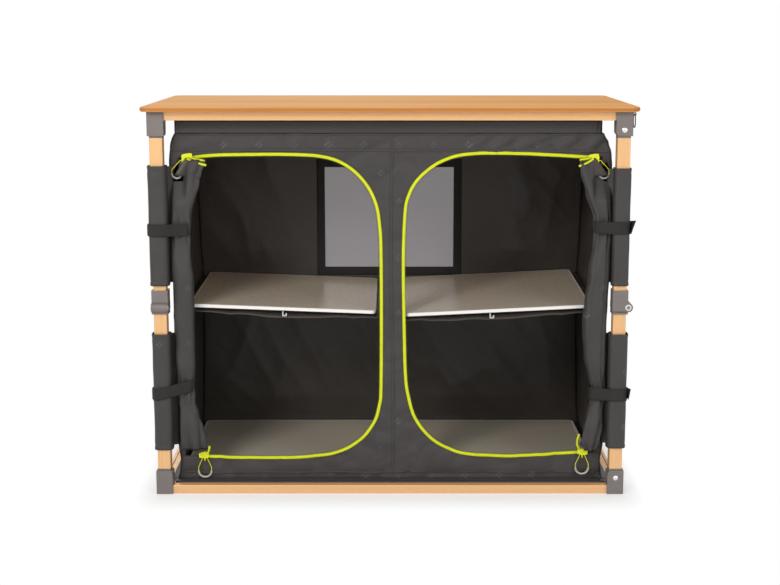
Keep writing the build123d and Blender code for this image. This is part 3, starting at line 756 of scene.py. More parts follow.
# %% [markdown]
# The binding is a doubled strip round the window, inside and out. It could be four strips laid over
# each other, but one ring with mitred corners is how it is sewn. The net itself is one thin pane
# that bellies a little.


# %% Window
def window_ring(out):
    """The window's corners, moved out by that much."""
    x0, x1, z0, z1 = window
    return [(x0 - out, z0 - out), (x1 + out, z0 - out), (x1 + out, z1 + out), (x0 - out, z1 + out)]


def frame_strip(name, y, material):
    """A flat picture-frame of cloth round the window, with mitred corners and a raised middle."""
    wide, steps, side_steps = 0.018, 4, 24
    points = []
    for k in range(steps + 1):
        lift = math.copysign(0.0009 * math.sin(math.pi * k / steps), BACK - y)
        ring = window_ring(wide * k / steps)
        for (ax, az), (bx, bz) in zip(ring, ring[1:] + ring[:1]):
            for s in np.linspace(0, 1, side_steps, endpoint=False):
                points.append((ax + (bx - ax) * s, y - lift, az + (bz - az) * s))
    return cloth(name, points, quads(steps + 1, 4 * side_steps, around=True), [material], 0.0008)


binding_in = frame_strip("window_binding_inner", BACK - 0.0030, webbing)
binding_out = frame_strip("window_binding_outer", BACK + 0.0016, outer)
NET_WIDE, NET_HIGH = 40, 30
(net_x0, net_z0), _, (net_x1, net_z1), _ = window_ring(0.001)
points = []
for j, z in enumerate(np.linspace(net_z0, net_z1, NET_HIGH)):
    for i, x in enumerate(np.linspace(net_x0, net_x1, NET_WIDE)):
        belly = math.sin(math.pi * i / (NET_WIDE - 1)) * math.sin(math.pi * j / (NET_HIGH - 1))
        points.append((x, BACK - 0.0004 - 0.0025 * belly, z))
pane = finish_mesh("window_net", (points, quads(NET_HIGH, NET_WIDE)), [net])
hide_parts("window_mesh")
print("window:", len(pane.data.polygons), "quads of net")

# %% [markdown]
# ## Floor, bands, sling and hems
# The floor cloth lies under the boards and reaches each wall where the wall sags to. Above the
# cover, a band of the same cloth hangs from the table rails on each side. A band is too narrow to
# need a panel's grid, so it is ruled between its foot and its top.


# %% Floor and bands
def strip_between(name, lows, highs, thickness=CLOTH, belly=0.0):
    """A ruled strip of cloth between two lines of points, which may belly out."""
    steps = 6
    points = []
    for low, high in zip(lows, highs):
        for t in np.linspace(0, 1, steps + 1):
            p = Vector(low).lerp(Vector(high), t)
            p.y += belly * math.sin(math.pi * t) * (0.6 + 0.6 * ripple(p.x, p.y, p.z, 9.0))
            points.append(p)
    return cloth(name, points, quads(len(lows), steps + 1, turned=True), thickness=thickness)


FLOOR = 0.0374


def floor_place(u, v):
    return (abs(u) * wall_x(math.copysign(1, u), v, FLOOR), v, FLOOR + 0.0006 * ripple(u, v, 0, 12.0))


floor_cloth = panel("floor_cloth", (-1.0, 1.0, 90), (-0.1945, 0.1945, 40), floor_place,
                    materials=(lining, outer))
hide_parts("cover_floor")

BAND_LOW, BAND_HIGH = 0.7485, 0.7745


def band(name, line, belly=0.0):
    """A band from a line of (x, y at its foot, y at its top)."""
    return strip_between(name, [(x, y, BAND_LOW) for x, y, _ in line],
                         [(x, y, BAND_HIGH) for x, _, y in line], belly=belly)


def side_band(name, way, end):
    """A band along a side. Its front end is drawn in to x = end."""
    depths = np.linspace(-0.192, 0.182, 44)
    out_at = [end + (0.4488 - end) * min(1.0, (y + 0.192) / 0.16) ** 2 for y in depths]
    return band(name, [(way * x, y, y) for x, y in zip(out_at, depths)])


bands = [
    band("band_front", [(x, -0.1972 - 0.0016 * ripple(x, 0, 0, 9.0, 5.0), -0.1968)
                        for x in np.linspace(-0.4362, 0.4300, 110)], 0.0015),
    band("band_back", [(-x, 0.1972, 0.1968) for x in np.linspace(-0.436, 0.436, 60)]),
    side_band("band_right", 1, 0.4305),
    side_band("band_left", -1, 0.4368),
]
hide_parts("cover_band")
print("floor and bands:", 1 + len(bands), "pieces")

# %% [markdown]
# The shelf boards rest on a slack sling whose front hem droops between its hooks. It takes the
# tilt of the boards on it, a little different left and right. At the foot of each wall a hem turns
# out over the base rail. It starts from the wall's own foot, so no gap shows the ground behind it.


# %% Sling and hems
def sling_place(u, v):
    """The sling under the boards: slack across the middle and at its front hem."""
    way = math.copysign(1, u)
    tilt, lean = (2.8, 2.0) if u > 0 else (2.2, 0.8)
    z = 0.3830 + (abs(u) - 0.2225) * math.tan(math.radians(tilt)) + v * math.tan(math.radians(lean))
    ends = max(0.0, 1 - ((abs(u) - 0.215) / 0.23) ** 2)
    front_hem = max(0.0, (-v - 0.150) / 0.040)
    z -= 0.0095 * ends * front_hem ** 2 + 0.0012 * (1 + ripple(u, v, 0, 15.0))
    z -= 0.0030 * min(1.0, front_hem) * crease(u, 0, 0, 17.0, 4.0)
    return (u / 0.437 * way * wall_x(way, v, z), v, z)


def hem_strip(name, place, start, end, outer_x=None, outer_y=None):
    """A hem that turns out over a rail from the foot of a wall."""
    lows, highs = [], []
    for u in np.linspace(start, end, 90):
        x, y, z = place(u, 0.0228)
        lows.append((outer_x or x * 1.01, outer_y or y, 0.0188))
        highs.append((x, y, z + 0.0008 * ripple(x, y, 0, 21.0, 2.0)))
    return strip_between(name, lows, highs, 0.0010)


hems = [
    hem_strip("hem_front_rail", front_place, -1, 1, outer_y=-0.2140),
    hem_strip("hem_back_rail", back_place, 1, -1, outer_y=0.2140),
    hem_strip("hem_left_rail", side_place(-1), 1, 0, outer_x=-0.4615),
    hem_strip("hem_right_rail", side_place(1), 0, 1, outer_x=0.4615),
]
sling = panel("sling_cloth", (-0.437, 0.437, 160), (-0.1905, 0.1905, 50), sling_place,
              materials=(lining, lining))
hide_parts("shelf_sling")
print("sling and hems:", 1 + len(hems), "pieces")

# %% [markdown]
# ## Zips
# A zip is a tape with a row of teeth along its middle. The tape is swept along the door's line as a
# low rounded band, and the teeth are small bars set across it every two millimetres. A bump map
# could draw the teeth, but the zip is the brightest line in the picture and is looked at closely.

# %% Zip builder
TAPE = [(-0.5, 0.0), (-0.5, 0.0006), (-0.37, 0.0008), (-0.30, 0.0018), (0.30, 0.0018),
        (0.37, 0.0008), (0.5, 0.0006), (0.5, 0.0)]
FLAT_SIDES = (0, 1, 5, 6)
TOOTH = [(-0.0013, 0.0017), (-0.0009, 0.0026), (0.0009, 0.0026), (0.0013, 0.0017)]
TOOTH_FACES = [(0, 1, 2, 3), (7, 6, 5, 4), (0, 4, 5, 1), (1, 5, 6, 2), (2, 6, 7, 3), (3, 7, 4, 0)]
HALF_TOOTH = 0.00062


def frames_along(line):
    """For each point of a line in the front plane: its way along, and its side way."""
    ahead = np.gradient(line, axis=0)
    ahead /= np.linalg.norm(ahead, axis=1)[:, None]
    return ahead, np.stack([-ahead[:, 1], ahead[:, 0]], axis=1)


def zip_band(name, line, depth_at, wide=0.0074):
    """A zip along a line of (x, z) points. depth_at gives the cloth's y under a point."""
    ahead, aside = frames_along(line)
    points = []
    for (x, z), (side_x, side_z) in zip(line, aside):
        y = depth_at(x, z)
        points += [(x + side_x * a * wide, y - d, z + side_z * a * wide) for a, d in TAPE]
    count = len(TAPE)
    faces = quads(len(line), count, around=True)
    tape_faces = len(faces)
    for i in (0, len(line) - 1):
        faces.append([i * count + k for k in range(count)])
    run = run_along(line)
    for place in np.arange(0.001, run[-1], 0.0021):
        x, z, ax, az = (np.interp(place, run, column) for column in (*line.T, *ahead.T))
        y = depth_at(x, z)
        faces += [[len(points) + k for k in face] for face in TOOTH_FACES]
        for s in (-HALF_TOOTH, HALF_TOOTH):
            points += [(x - az * w + ax * s, y - d, z + ax * w + az * s) for w, d in TOOTH]
    piece = finish_mesh(name, (points, faces), [lime, tape], smooth=False)
    for face in piece.data.polygons[:tape_faces]:
        face.material_index = int(face.index % count in FLAT_SIDES)
    return piece


def on_front(x, z):
    """The front cloth's outer face, where a zip lies."""
    return FRONT - front_bulge(x, z) - 0.0009


chains = [zip_band(f"zip_{side}", zip_lines[side], on_front) for side in zip_lines]
print("zip teeth pieces:", [len(c.data.polygons) for c in chains])

# %% [markdown]
# The sliders are cast bodies: a flat bell-shaped plate with a bridge that holds the pull's cord. A
# small bevel softens their edges as casting does, which is simpler than modelling round edges.

# %% Sliders
BELL = [(-0.0110, -0.0046), (-0.0108, 0.0046), (-0.0050, 0.0064), (0.0060, 0.0066),
        (0.0108, 0.0056), (0.0110, -0.0056), (0.0060, -0.0066), (-0.0050, -0.0064)]
BRIDGE = [(-0.0062, -0.0024), (-0.0048, -0.0042), (0.0040, -0.0042), (0.0056, -0.0024),
          (0.0034, -0.0024), (0.0028, -0.0030), (-0.0034, -0.0030), (-0.0040, -0.0024)]


def slider(name, x, z, angle, lug_x, y=-0.2003):
    """A slider at (x, z), turned by an angle in its plane. The lug hangs at lug_x."""
    made = bmesh.new()
    plate = made.faces.new([made.verts.new((px, 0, pz)) for px, pz in BELL])
    moved = bmesh.ops.extrude_face_region(made, geom=[plate])["geom"]
    front_verts = [v for v in moved if isinstance(v, bmesh.types.BMVert)]
    bmesh.ops.translate(made, verts=front_verts, vec=(0, -0.0026, 0))
    low, high = ([made.verts.new((px, py, pz)) for px, py in BRIDGE] for pz in (-0.0016, 0.0016))
    made.faces.new(low)
    made.faces.new(high[::-1])
    for i in range(len(low)):
        j = (i + 1) % len(low)
        made.faces.new((low[j], low[i], high[i], high[j]))
    bmesh.ops.recalc_face_normals(made, faces=made.faces)
    for v in made.verts:
        px, pz = v.co.x, v.co.z
        v.co.x = x + px * math.cos(angle) - pz * math.sin(angle)
        v.co.z = z + px * math.sin(angle) + pz * math.cos(angle)
        v.co.y += y
    bmesh.ops.recalc_face_normals(made, faces=made.faces)
    piece = finish_mesh(name, made, [lime], smooth=False)
    soft = piece.modifiers.new("cast_edges", "BEVEL")
    soft.width = 0.0007
    soft.segments = 2
    lug = bmesh.new()
    bmesh.ops.create_cone(lug, cap_ends=True, segments=10, radius1=0.0016, radius2=0.0016, depth=0.0105)
    bmesh.ops.translate(lug, verts=lug.verts, vec=(lug_x, y - 0.0016, z - 0.0075))
    return piece, finish_mesh(name + "_lug", lug, [lime])


sliders = {
    "lower_left": slider("slider_lower_left", -0.3905, 0.0745, 0.10, -0.389),
    "lower_right": slider("slider_lower_right", 0.4045, 0.0815, math.pi - 0.15, 0.404),
    "upper_left": slider("slider_upper_left", -0.4120, 0.7010, 0.12, -0.4215),
    "upper_right": slider("slider_upper_right", 0.4140, 0.7000, math.pi + 0.2, 0.4235),
}
print("sliders:", len(sliders))

# %% [markdown]
# The doors' own halves of the zips run on from each slider along the door's edge, free of the front
# cloth. They are the same zip on a line that leaves the front's plane.


# %% Door ends of the zips
def door_tail(name, *points):
    """The door's half of a zip, free of the front cloth, along (x, y, z) points in mm."""
    line = smooth_line(np.array(points) / 1000, 0.003)
    return zip_band(name, line[:, [0, 2]], lambda x, z: nearest_on(line, x, z)[1], 0.0050)


tails = [
    door_tail("tail_upper_left_a", (-410, -201.5, 701.5), (-395, -203, 696.5), (-375.5, -203, 693)),
    door_tail("tail_upper_left_b", (-412, -203.5, 697.5), (-394, -206, 690), (-372.5, -206.5, 684)),
    door_tail("tail_upper_right_a", (412, -201.5, 701), (400, -203, 697), (385, -203, 695)),
    door_tail("tail_upper_right_b", (413, -203.5, 697), (400, -206, 689), (383.5, -206.5, 682)),
    door_tail("tail_lower_left", (-386, -202, 77), (-382, -205, 81), (-379, -208, 88), (-378, -209, 96)),
    door_tail("tail_lower_right", (400, -202, 86), (393.5, -206, 95), (392, -209, 108), (396, -209, 122)),
]
print("door ends:", len(tails))

# %% [markdown]
# ## Rolled doors
# Each door is rolled up sideways and held by two straps. The roll is a long soft body that is
# waisted by its straps, flattens into a flap at the top, and fans out at the bottom, where the
# layers part. A spiral of cloth would be the true form, but only its outside shows. So its section
# is an oval, and tables give its left, right and front outline at stations down the photograph.

# %% Roll outlines
left_out = table_of([
    (91, -431), (109, -434.5), (138, -437), (166, -438), (196, -440), (226, -440),
    (278, -442), (392, -443.7), (493, -445), (574, -445), (656, -443.7), (696, -430),
])
left_in = table_of([
    (91, -385), (109, -386), (138, -391), (166, -398), (196, -406), (226, -408), (278, -402),
    (392, -402), (439, -404), (493, -407), (548, -409), (574, -408), (656, -388), (696, -377),
])
right_in = table_of([
    (87, 409), (108, 402), (136, 403), (165, 409), (200, 416), (221, 417), (249, 411), (293, 401),
    (335, 397), (406, 400), (466, 408), (521, 415), (574, 415), (629, 396), (672, 387), (692, 386),
])
right_out = table_of([
    (87, 427), (108, 436), (136, 442), (165, 443), (221, 446), (249, 446), (335, 447),
    (406, 448), (466, 450), (574, 450), (629, 448.8), (672, 446), (692, 436),
])
roll_front = table_of([
    (86, -216), (110, -222), (150, -224), (200, -220), (225, -220), (280, -226),
    (450, -227), (545, -221), (570, -221), (620, -223), (670, -213), (697, -206),
])
print("rolls reach out to y =", round(min(roll_front(z / 100) for z in range(9, 70)), 4))

# %% [markdown]
# On that oval lie three lapped layers, the pleats that the straps gather, and the loose folds at
# both ends. The layers are drawn as steps in the section, so they cast shadows. The ends close
# with a hollow, where the real roll shows the edges of its turns.

# %% Roll builder
ROLL_ROWS, ROLL_ROUND = 150, 56
ROLL_BACK = FRONT - 0.0016
LAPS = ((0.62, 0.0026), (0.80, 0.0021), (0.94, 0.0017))


def roll_relief(z, angle, way):
    """How far the roll's cloth stands out at a height and an angle round it."""
    c, s = math.cos(angle), math.sin(angle)
    strapped = max(near(z, 0.213, 0.045), near(z, 0.556, 0.05))
    loose = max(0.0, (0.17 - z) / 0.08) + max(0.0, (z - 0.62) / 0.09)
    out = math.sin(angle * 7 + 9 * ripple(0, 0, z, 6.0, 2.0 + way)) * strapped * 0.0026
    out += math.sin(angle * 5 + 2.0 + 3 * ripple(0, 0, z, 7.0, 4.0 + way)) * loose * 0.0044
    out += 0.0022 * ripple(c * 0.03, s * 0.03, z, 17.0, 7.0)
    out += 0.0022 * crease(c * 0.02, s * 0.02, 0.35 * z, 34.0, way)
    turn = (angle * way / (2 * math.pi) + 0.11 + 0.05 * ripple(0, 0, z, 5.0, way)) % 1.0
    return out - 0.0008 - sum(depth * max(0.0, 1 - (turn - edge) % 1.0 / 0.13) for edge, depth in LAPS)


def roll(name, inner, outer_line, low, high, way):
    """A rolled door: way is 1 where the roll's free layers face right."""
    points = []
    for z in np.linspace(low, high, ROLL_ROWS):
        xa, xb = sorted((inner(z), outer_line(z)))
        ya = roll_front(z)
        for angle in np.linspace(0, 2 * math.pi, ROLL_ROUND, endpoint=False):
            ex, ey = (math.copysign(abs(e) ** 0.78, e) for e in (math.cos(angle), math.sin(angle)))
            off = roll_relief(z, angle, way)
            x = (xa + xb) / 2 + ex * ((xb - xa) / 2 + off * 0.8)
            y = min((ya + ROLL_BACK) / 2 + ey * ((ROLL_BACK - ya) / 2 + off), ROLL_BACK + 0.0004)
            behind_pull = clamp((abs(x) - 0.4125) / 0.006) * clamp((z - 0.612) / 0.038)
            points.append((x, y + (max(y, -0.1992) - y) * behind_pull, z))
    faces = quads(ROLL_ROWS, ROLL_ROUND, around=True)
    rolled_faces = len(faces)
    for start, depth in ((0, 0.012), ((ROLL_ROWS - 1) * ROLL_ROUND, -0.010)):
        last = list(range(start, start + ROLL_ROUND))
        x, y, z = (sum(points[k][axis] for k in last) / ROLL_ROUND for axis in range(3))
        way_round = -1 if start == 0 else 1
        for share in (0.82, 0.55, 0.25):
            fresh = list(range(len(points), len(points) + ROLL_ROUND))
            for k in last:
                px, py, _ = points[k]
                wave = 0.0022 * math.sin(len(points) * 0.9)
                points.append((x + (px - x) * share, y + (py - y) * share, z + depth + wave))
            for i in range(ROLL_ROUND):
                m = (i + 1) % ROLL_ROUND
                faces.append((last[i], last[m], fresh[m], fresh[i])[::way_round])
            last = fresh
        faces.append(last[::way_round])
    made = finish_mesh(name, (points, faces), [outer, lining])
    for face in made.data.polygons[rolled_faces:]:
        face.material_index = 1
    return made


roll_left = roll("rolled_door_left", left_in, left_out, 0.0905, 0.6955, -1)
roll_right = roll("rolled_door_right", right_in, right_out, 0.0870, 0.6915, 1)
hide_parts("door_roll_left")
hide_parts("door_roll_right")
print("rolls:", len(roll_left.data.polygons), len(roll_right.data.polygons), "quads")

# %% [markdown]
# The doors' undersides show at the ends of each roll: one loose flap at the bottom that fans out,
# and one that lies slanting across the top, both with their folded edges. Each is a small fan
# between two lines, since its folds all start where the strap or the slider holds it.


# %% Loose flaps
def flap(name, top, bottom, y_top, y_bottom, folds, materials):
    """A small loose piece of door between two lines of (x, z) in mm, folded like a fan."""
    rows, wide = 9, 34
    points = []
    for t in np.linspace(0, 1, rows):
        for s in np.linspace(0, 1, wide):
            (ax, az), (bx, bz) = (
                [np.interp(s, np.linspace(0, 1, len(line)), column) / 1000 for column in zip(*line)]
                for line in (top, bottom)
            )
            y = y_top + (y_bottom - y_top) * t - 0.0024 * math.sin(folds * math.pi * s) * t
            points.append((ax + (bx - ax) * t, y, az + (bz - az) * t))
    return cloth(name, points, quads(rows, wide), materials, 0.0010)


flaps = [
    flap("flap_lower_left", [(-433, 118), (-397, 120)], [(-431, 88.5), (-408, 83.5), (-381.5, 88)],
         -0.2080, -0.2040, 5, (lining, outer)),
    flap("flap_lower_right", [(408, 118), (437, 116)], [(398, 99), (411, 85), (428, 87)],
         -0.2080, -0.2040, 5, (lining, outer)),
    flap("flap_upper_left", [(-413, 701.5), (-376, 692.5)], [(-438, 664), (-385, 658)],
         -0.2030, -0.2090, 3, (outer, lining)),
    flap("flap_upper_right", [(385, 694.5), (416, 700)], [(388, 660), (444, 664)],
         -0.2030, -0.2085, 3, (outer, lining)),
]
print("flaps:", len(flaps))

# %% [markdown]
# ## Straps
# Each strap is a flat loop of webbing round a leg and the roll beside it. Webbing is stiff across
# its width and bends easily along it, so a strap is one ribbon swept round a closed line, with a
# loose end that sticks out.

# %% Strap builder
LEG_X, LEG_Y, KNEE_Z = 0.470, 0.220, 0.390
WEBBING = 0.025


def ribbon(name, line, low, high, thickness, closed=True, flare=0.0):
    """Webbing standing on a line of (x, y) points. Its top may flare out towards its end."""
    rows_up = 7
    points = []
    for i, (x, y) in enumerate(line):
        s = i / len(line)
        for t in np.linspace(0, 1, rows_up):
            lean = flare * max(0.0, s - 0.4) * (t - 0.2)
            bow = 0.0006 * math.sin(math.pi * t)
            points.append((x + lean, y - bow, low(s) + (high(s) - low(s)) * t))
    faces = quads(len(line) + closed, rows_up, turned=True, total=len(points))
    return cloth(name, points, faces, [webbing], thickness)


def strap_line(way, reach, ease):
    """Seen from above: round the leg's outer side, across its front, over the roll and back."""
    side, face = LEG_X + 0.0175 + ease, 0.2390 + ease / 2
    return np.array([
        (side, -0.2290), (side - 0.0035, -face + 0.0015), (LEG_X, -face),
        (LEG_X - 0.0130, -face + 0.0005), (LEG_X - 0.0260, -0.2335), (reach + 0.016, -0.2265),
        (reach + 0.002, -0.2210), (reach, -0.2090), (reach + 0.004, -0.2002),
        (LEG_X - 0.0240, -0.2003), (LEG_X - 0.006, -0.2015), (side - 0.0045, -0.2018),
        (side + 0.0002, -0.2110),
    ]) * (way, 1)


def strap(place, way, reach, inner_low, leg_low, ease):
    """A strap whose foot is at inner_low by the roll and at leg_low by the leg."""
    line = closed_line(strap_line(way, reach, ease), 0.004, 3)

    def low_at(t):
        x = abs(line[min(int(t * len(line)), len(line) - 1)][0])
        return inner_low + (leg_low - inner_low) * clamp((x - reach) / (0.487 - reach))

    return ribbon(f"strap_{place}", line, low_at, lambda t: low_at(t) + WEBBING, 0.0015)


straps = [
    strap("upper_left", -1, 0.4075, 0.5420, 0.5420, 0.0030),
    strap("lower_left", -1, 0.4065, 0.2165, 0.2000, 0.0026),
    strap("upper_right", 1, 0.4150, 0.5470, 0.5470, 0.0008),
    strap("lower_right", 1, 0.4120, 0.2000, 0.2000, 0.0030),
]
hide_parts("straps")
print("straps:", len(straps))

# %% [markdown]
# Each strap closes with a fastener under a loose end. The end is the same webbing, and it springs
# away from the leg.


# %% Loose ends
def loose_end(place, line, low, high, flare=0.0):
    """An open ribbon on (x, y) points. low and high are each a height and its rise to the tip."""
    return ribbon(f"strap_end_{place}", smooth_line(line, 0.003), lambda t: low[0] + low[1] * t,
                  lambda t: high[0] + high[1] * t, 0.0014, closed=False, flare=flare)


ends = [
    loose_end("upper_right", [(0.4895, -0.2150), (0.4900, -0.2300), (0.4895, -0.2395), (0.4880, -0.2440)],
              (0.5480, 0.001), (0.5715, 0.005), 0.020),
    loose_end("lower_right", [(0.4920, -0.2150), (0.4922, -0.2300), (0.4925, -0.2385), (0.4920, -0.2430)],
              (0.2010, 0.004), (0.2240, 0.003), 0.008),
    loose_end("upper_left", [(-0.4895, -0.2060), (-0.4922, -0.2140), (-0.4918, -0.2280)],
              (0.5430, 0.0), (0.5660, 0.0)),
    loose_end("lower_left", [(-0.4890, -0.2060), (-0.4918, -0.2130), (-0.4914, -0.2260)],
              (0.2010, 0.0), (0.2240, 0.0)),
]
print("loose ends:", len(ends))

# %% [markdown]
# ## Sleeves
# A cloth sleeve is sewn round each half of each leg, with a seam that stands out as a narrow fin
# towards the cover. Its ends are turned in, so a rolled hem shows at the top and the bottom.

# %% Sleeve builder
SNUG, SLEEVE_ROUND = 0.0157, 0.0072
FIN_X, FIN_Y = 0.0150, 0.0078


def bump(value, middle, wide):
    """A soft hump with its top at the middle."""
    return math.exp(-((value - middle) / wide) ** 2)


def sleeve_outline(ease):
    """The sleeve's section: a rounded square with an even spacing of points."""
    rounded = SLEEVE_ROUND + ease
    outline = []
    for quarter, (way_x, way_y) in enumerate([(1, 1), (-1, 1), (-1, -1), (1, -1)]):
        for angle in (math.pi / 2 * (quarter + k / 8) for k in range(9)):
            outline.append((way_x * (SNUG + ease - rounded) + rounded * math.cos(angle),
                            way_y * (SNUG + ease / 2 - rounded) + rounded * math.sin(angle)))
    return closed_line(outline, 0.0024, 1)


def sleeve(name, corner, low, high, ease):
    """A tube of cloth round a leg, with two hems and one fin. It stands off the leg by its ease."""
    sx, sy = corners[corner]
    cx, cy = sx * LEG_X, sy * LEG_Y
    seed = 3.0 * sx + 5.0 * sy + (0 if low < 0.3 else 2)
    outline = sleeve_outline(ease)
    rows, fin_wide = 71, 6
    points, fin_points = [], []
    for t in np.linspace(0, 1, rows):
        z = low + (high - low) * t
        end = min(t, 1 - t) * (high - low)
        hem = 0.0006 * bump(end, 0.0030, 0.0022) - 0.0004 * bump(end, 0.0095, 0.002)
        gather = 0.0006 * (0.4 + 0.6 * math.exp(-end / 0.03))
        for x, y in outline:
            wave = 0.0004 + 0.0005 * ripple(cx + x * 1.5, cy + y * 1.5, z, 28.0, seed)
            wave += gather * crease(cx + x, cy + y, 0.35 * z, 46.0, seed)
            grow = 1 + (hem + wave) / math.hypot(x, y)
            points.append((cx + x * grow, cy + y * grow, z))
    for z in np.linspace(low + 0.003, high - 0.003, rows):
        for s in np.linspace(0, 1, fin_wide):
            y = cy - sy * (0.0132 + FIN_Y * s) - sy * 0.0006 * ripple(0, 0, z, 16.0, seed) * s
            fin_points.append((cx - sx * (0.0130 + FIN_X * s), y, z))
    tube = cloth(name, points, quads(rows, len(outline), around=True), thickness=0.0006, offset=-1.0)
    return tube, cloth(name + "_fin", fin_points, quads(rows, fin_wide))


print("a snug sleeve is", round(2000 * (SNUG + 0.0006), 1), "mm wide")

# %% [markdown]
# Each sleeve has its own bottom, top and ease, which is how far it stands off the leg. The front
# left and lower right ones are loose in the photograph, and the ones behind are taken to be alike.

# %% Sleeves
sleeve_heights = {}
for corner, foot, low_ease, head, high_ease in (
    ("front_left", 0.0945, 0.0026, 0.6850, 0.0030),
    ("front_right", 0.0985, 0.0030, 0.6805, 0.0008),
    ("back_left", 0.0945, 0.0015, 0.6850, 0.0015),
    ("back_right", 0.0945, 0.0015, 0.6850, 0.0015),
):
    sleeve_heights[corner, "lower"] = (foot, 0.3400, low_ease)
    sleeve_heights[corner, "upper"] = (0.4402, head, high_ease)
sleeves = {}
for (corner, half), size in sleeve_heights.items():
    sleeves[corner, half] = sleeve(f"{corner}_{half}_sleeve_cloth", corner, *size)
    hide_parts(f"{corner}_{half}_sleeve")
print("sleeves:", len(sleeves))

# %% [markdown]
# ## Stitches and seams
# Where two panels meet, the cloth is folded over and sewn down. Each stitch is a small raised bead
# of thread. Beads could be scattered by an array on a curve, but built at once they are one mesh.

# %% Stitches
thread = Finish("thread", specular_ior_level=0.3)
thread.made(thread.cloud(400.0), (0.035, 0.032, 0.031), (0.06, 0.056, 0.054), 0.7,
            thread.cloud(2500.0), 0.0001)
PITCH, THICK = 0.0042, 0.00042
OUT = (0, -1, 0)


def stitches(name, points, out=OUT):
    """Beads of thread along a line in space."""
    p = np.array(points, float)
    run = run_along(p)
    lift = np.array(out, float)
    made_points, made_faces = [], []
    for place in np.arange(PITCH / 2, run[-1], PITCH):
        a, b = (np.array([np.interp(place + s * PITCH * 0.36, run, c) for c in p.T]) for s in (-1, 1))
        ahead = b - a
        ahead /= max(np.linalg.norm(ahead), 1e-9)
        aside = np.cross(ahead, lift)
        made_faces += [[len(made_points) + k for k in face] for face in quads(4, 4)]
        for end, scale in ((a, 0.35), (a + (b - a) * 0.25, 1.0), (a + (b - a) * 0.75, 1.0), (b, 0.35)):
            for u, v in ((-1, 0), (-0.6, 0.8), (0.6, 0.8), (1, 0)):
                made_points.append(end + aside * u * THICK * scale + lift * v * THICK * scale)
    return finish_mesh(name, (made_points, made_faces), [thread.material])


print("stitches:", PITCH * 1000, "mm apart")

# %% [markdown]
# A seam is a low strip over the cloth with rows of stitches on it. The strip follows the cloth's
# own bulges, because it starts from the same function as the panel.

# %% Seam builder
SEAM_RISE = 0.0009
FOLD = [(-0.5, 0.0), (-0.46, 0.8), (-0.2, 1.0), (0.2, 1.0), (0.46, 0.8), (0.5, 0.0)]


def seam(name, line, wide, lines):
    """A folded strip over a line of (x, y, z) points, and its rows of stitches."""
    p = np.array(line, float)
    lift = np.array(OUT, float)
    ahead = np.gradient(p, axis=0)
    ahead /= np.linalg.norm(ahead, axis=1)[:, None]
    aside = np.cross(ahead, lift)
    points = [q + side * a * wide + lift * b * SEAM_RISE for q, side in zip(p, aside) for a, b in FOLD]
    strip = finish_mesh(name, (points, quads(len(p), len(FOLD))), [outer])
    sewn = [
        stitches(f"{name}_stitch_{k}", p + aside * s * wide + lift * SEAM_RISE * 0.9)
        for k, s in enumerate(lines)
    ]
    return [strip, *sewn]


print("seams stand out", SEAM_RISE * 1000, "mm")

# %% [markdown]
# Seams run along the top, the foot and the middle of the front, and rows of stitches on both sides
# of each zip. The window's binding has two rows on each face, and the front band a seam at each end.


# %% Seams and stitches in place
def cross_seam(name, height, ends, wide, lines):
    """A seam across the front. height gives z for x, and ends is a start, an end and a count."""
    line = [(x, on_front(x, height(x)) + 0.0002, height(x)) for x in np.linspace(*ends)]
    return seam(name, line, wide, lines)


MIDDLE_X = 0.0045
front_seams = [
    *cross_seam("seam_top", lambda x: 0.7135 - 0.0015 * math.sin(3 * x), (-0.442, 0.444, 160), 0.0065,
                (-0.28, 0.28)),
    *cross_seam("hem_front", lambda x: 0.0345 + 0.0006 * math.sin(40 * x), (-0.430, 0.430, 160), 0.0040,
                (0.0,)),
    *cross_seam("seam_edge_top", lambda x: 0.7455, (-0.436, 0.430, 150), 0.0045, (-0.2,)),
    *seam("seam_middle", [(MIDDLE_X + 0.002 * math.sin(9 * z), on_front(MIDDLE_X, z) + 0.0002, z)
                          for z in np.linspace(0.040, 0.735, 150)], 0.0060, (-0.25, 0.25)),
]
for side, way in (("left", -1), ("right", 1)):
    for label, by in (("", 0.0052), ("in_", -0.0042)):
        beside = zip_lines[side] + frames_along(zip_lines[side])[1] * (way * by)
        line = [(x, on_front(x, z) + 0.0001, z) for x, z in beside]
        front_seams.append(stitches(f"door_stitch_{label}{side}", line))
binding_stitches = []
for name, y, out in (("in", BACK - 0.0042, OUT), ("out", BACK + 0.0028, (0, 1, 0))):
    for inset in (0.0035, 0.0150):
        ring = [(x, y, z) for x, z in window_ring(inset)]
        binding_stitches.append(
            stitches(f"binding_stitch_{name}_{int(inset * 10000)}", ring + ring[:1], out))
band_seams = []
for side, x, row in (("left", -0.4305, 0.2), ("right", 0.4250, -0.2)):
    line = [(x + 0.001 * math.sin(90 * z), -0.1990, z) for z in np.linspace(0.7490, 0.7740, 12)]
    band_seams += seam(f"band_seam_{side}", line, 0.0050, (row,))
print("seams:", len(front_seams) + len(binding_stitches) + len(band_seams))

# %% [markdown]
# ## What each piece moves with
# When the cupboard folds, its table comes down and the cloth crumples on the base. Cloth can't turn
# on a hinge, so the cloth pieces go with the base. The legs' sleeves go with the legs, and the
# sliders at the top go with the solids that they stand for.

# %% Riding
PRESSED_HALF, SLEEVE_WALL = 0.0150, 0.0012


def settle(pieces, body="base", flatten=True):
    """Puts pieces on a body. With flatten, each piece gets its own copy of its mesh."""
    for piece in pieces:
        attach(piece, body)
        if flatten:
            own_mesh(piece)


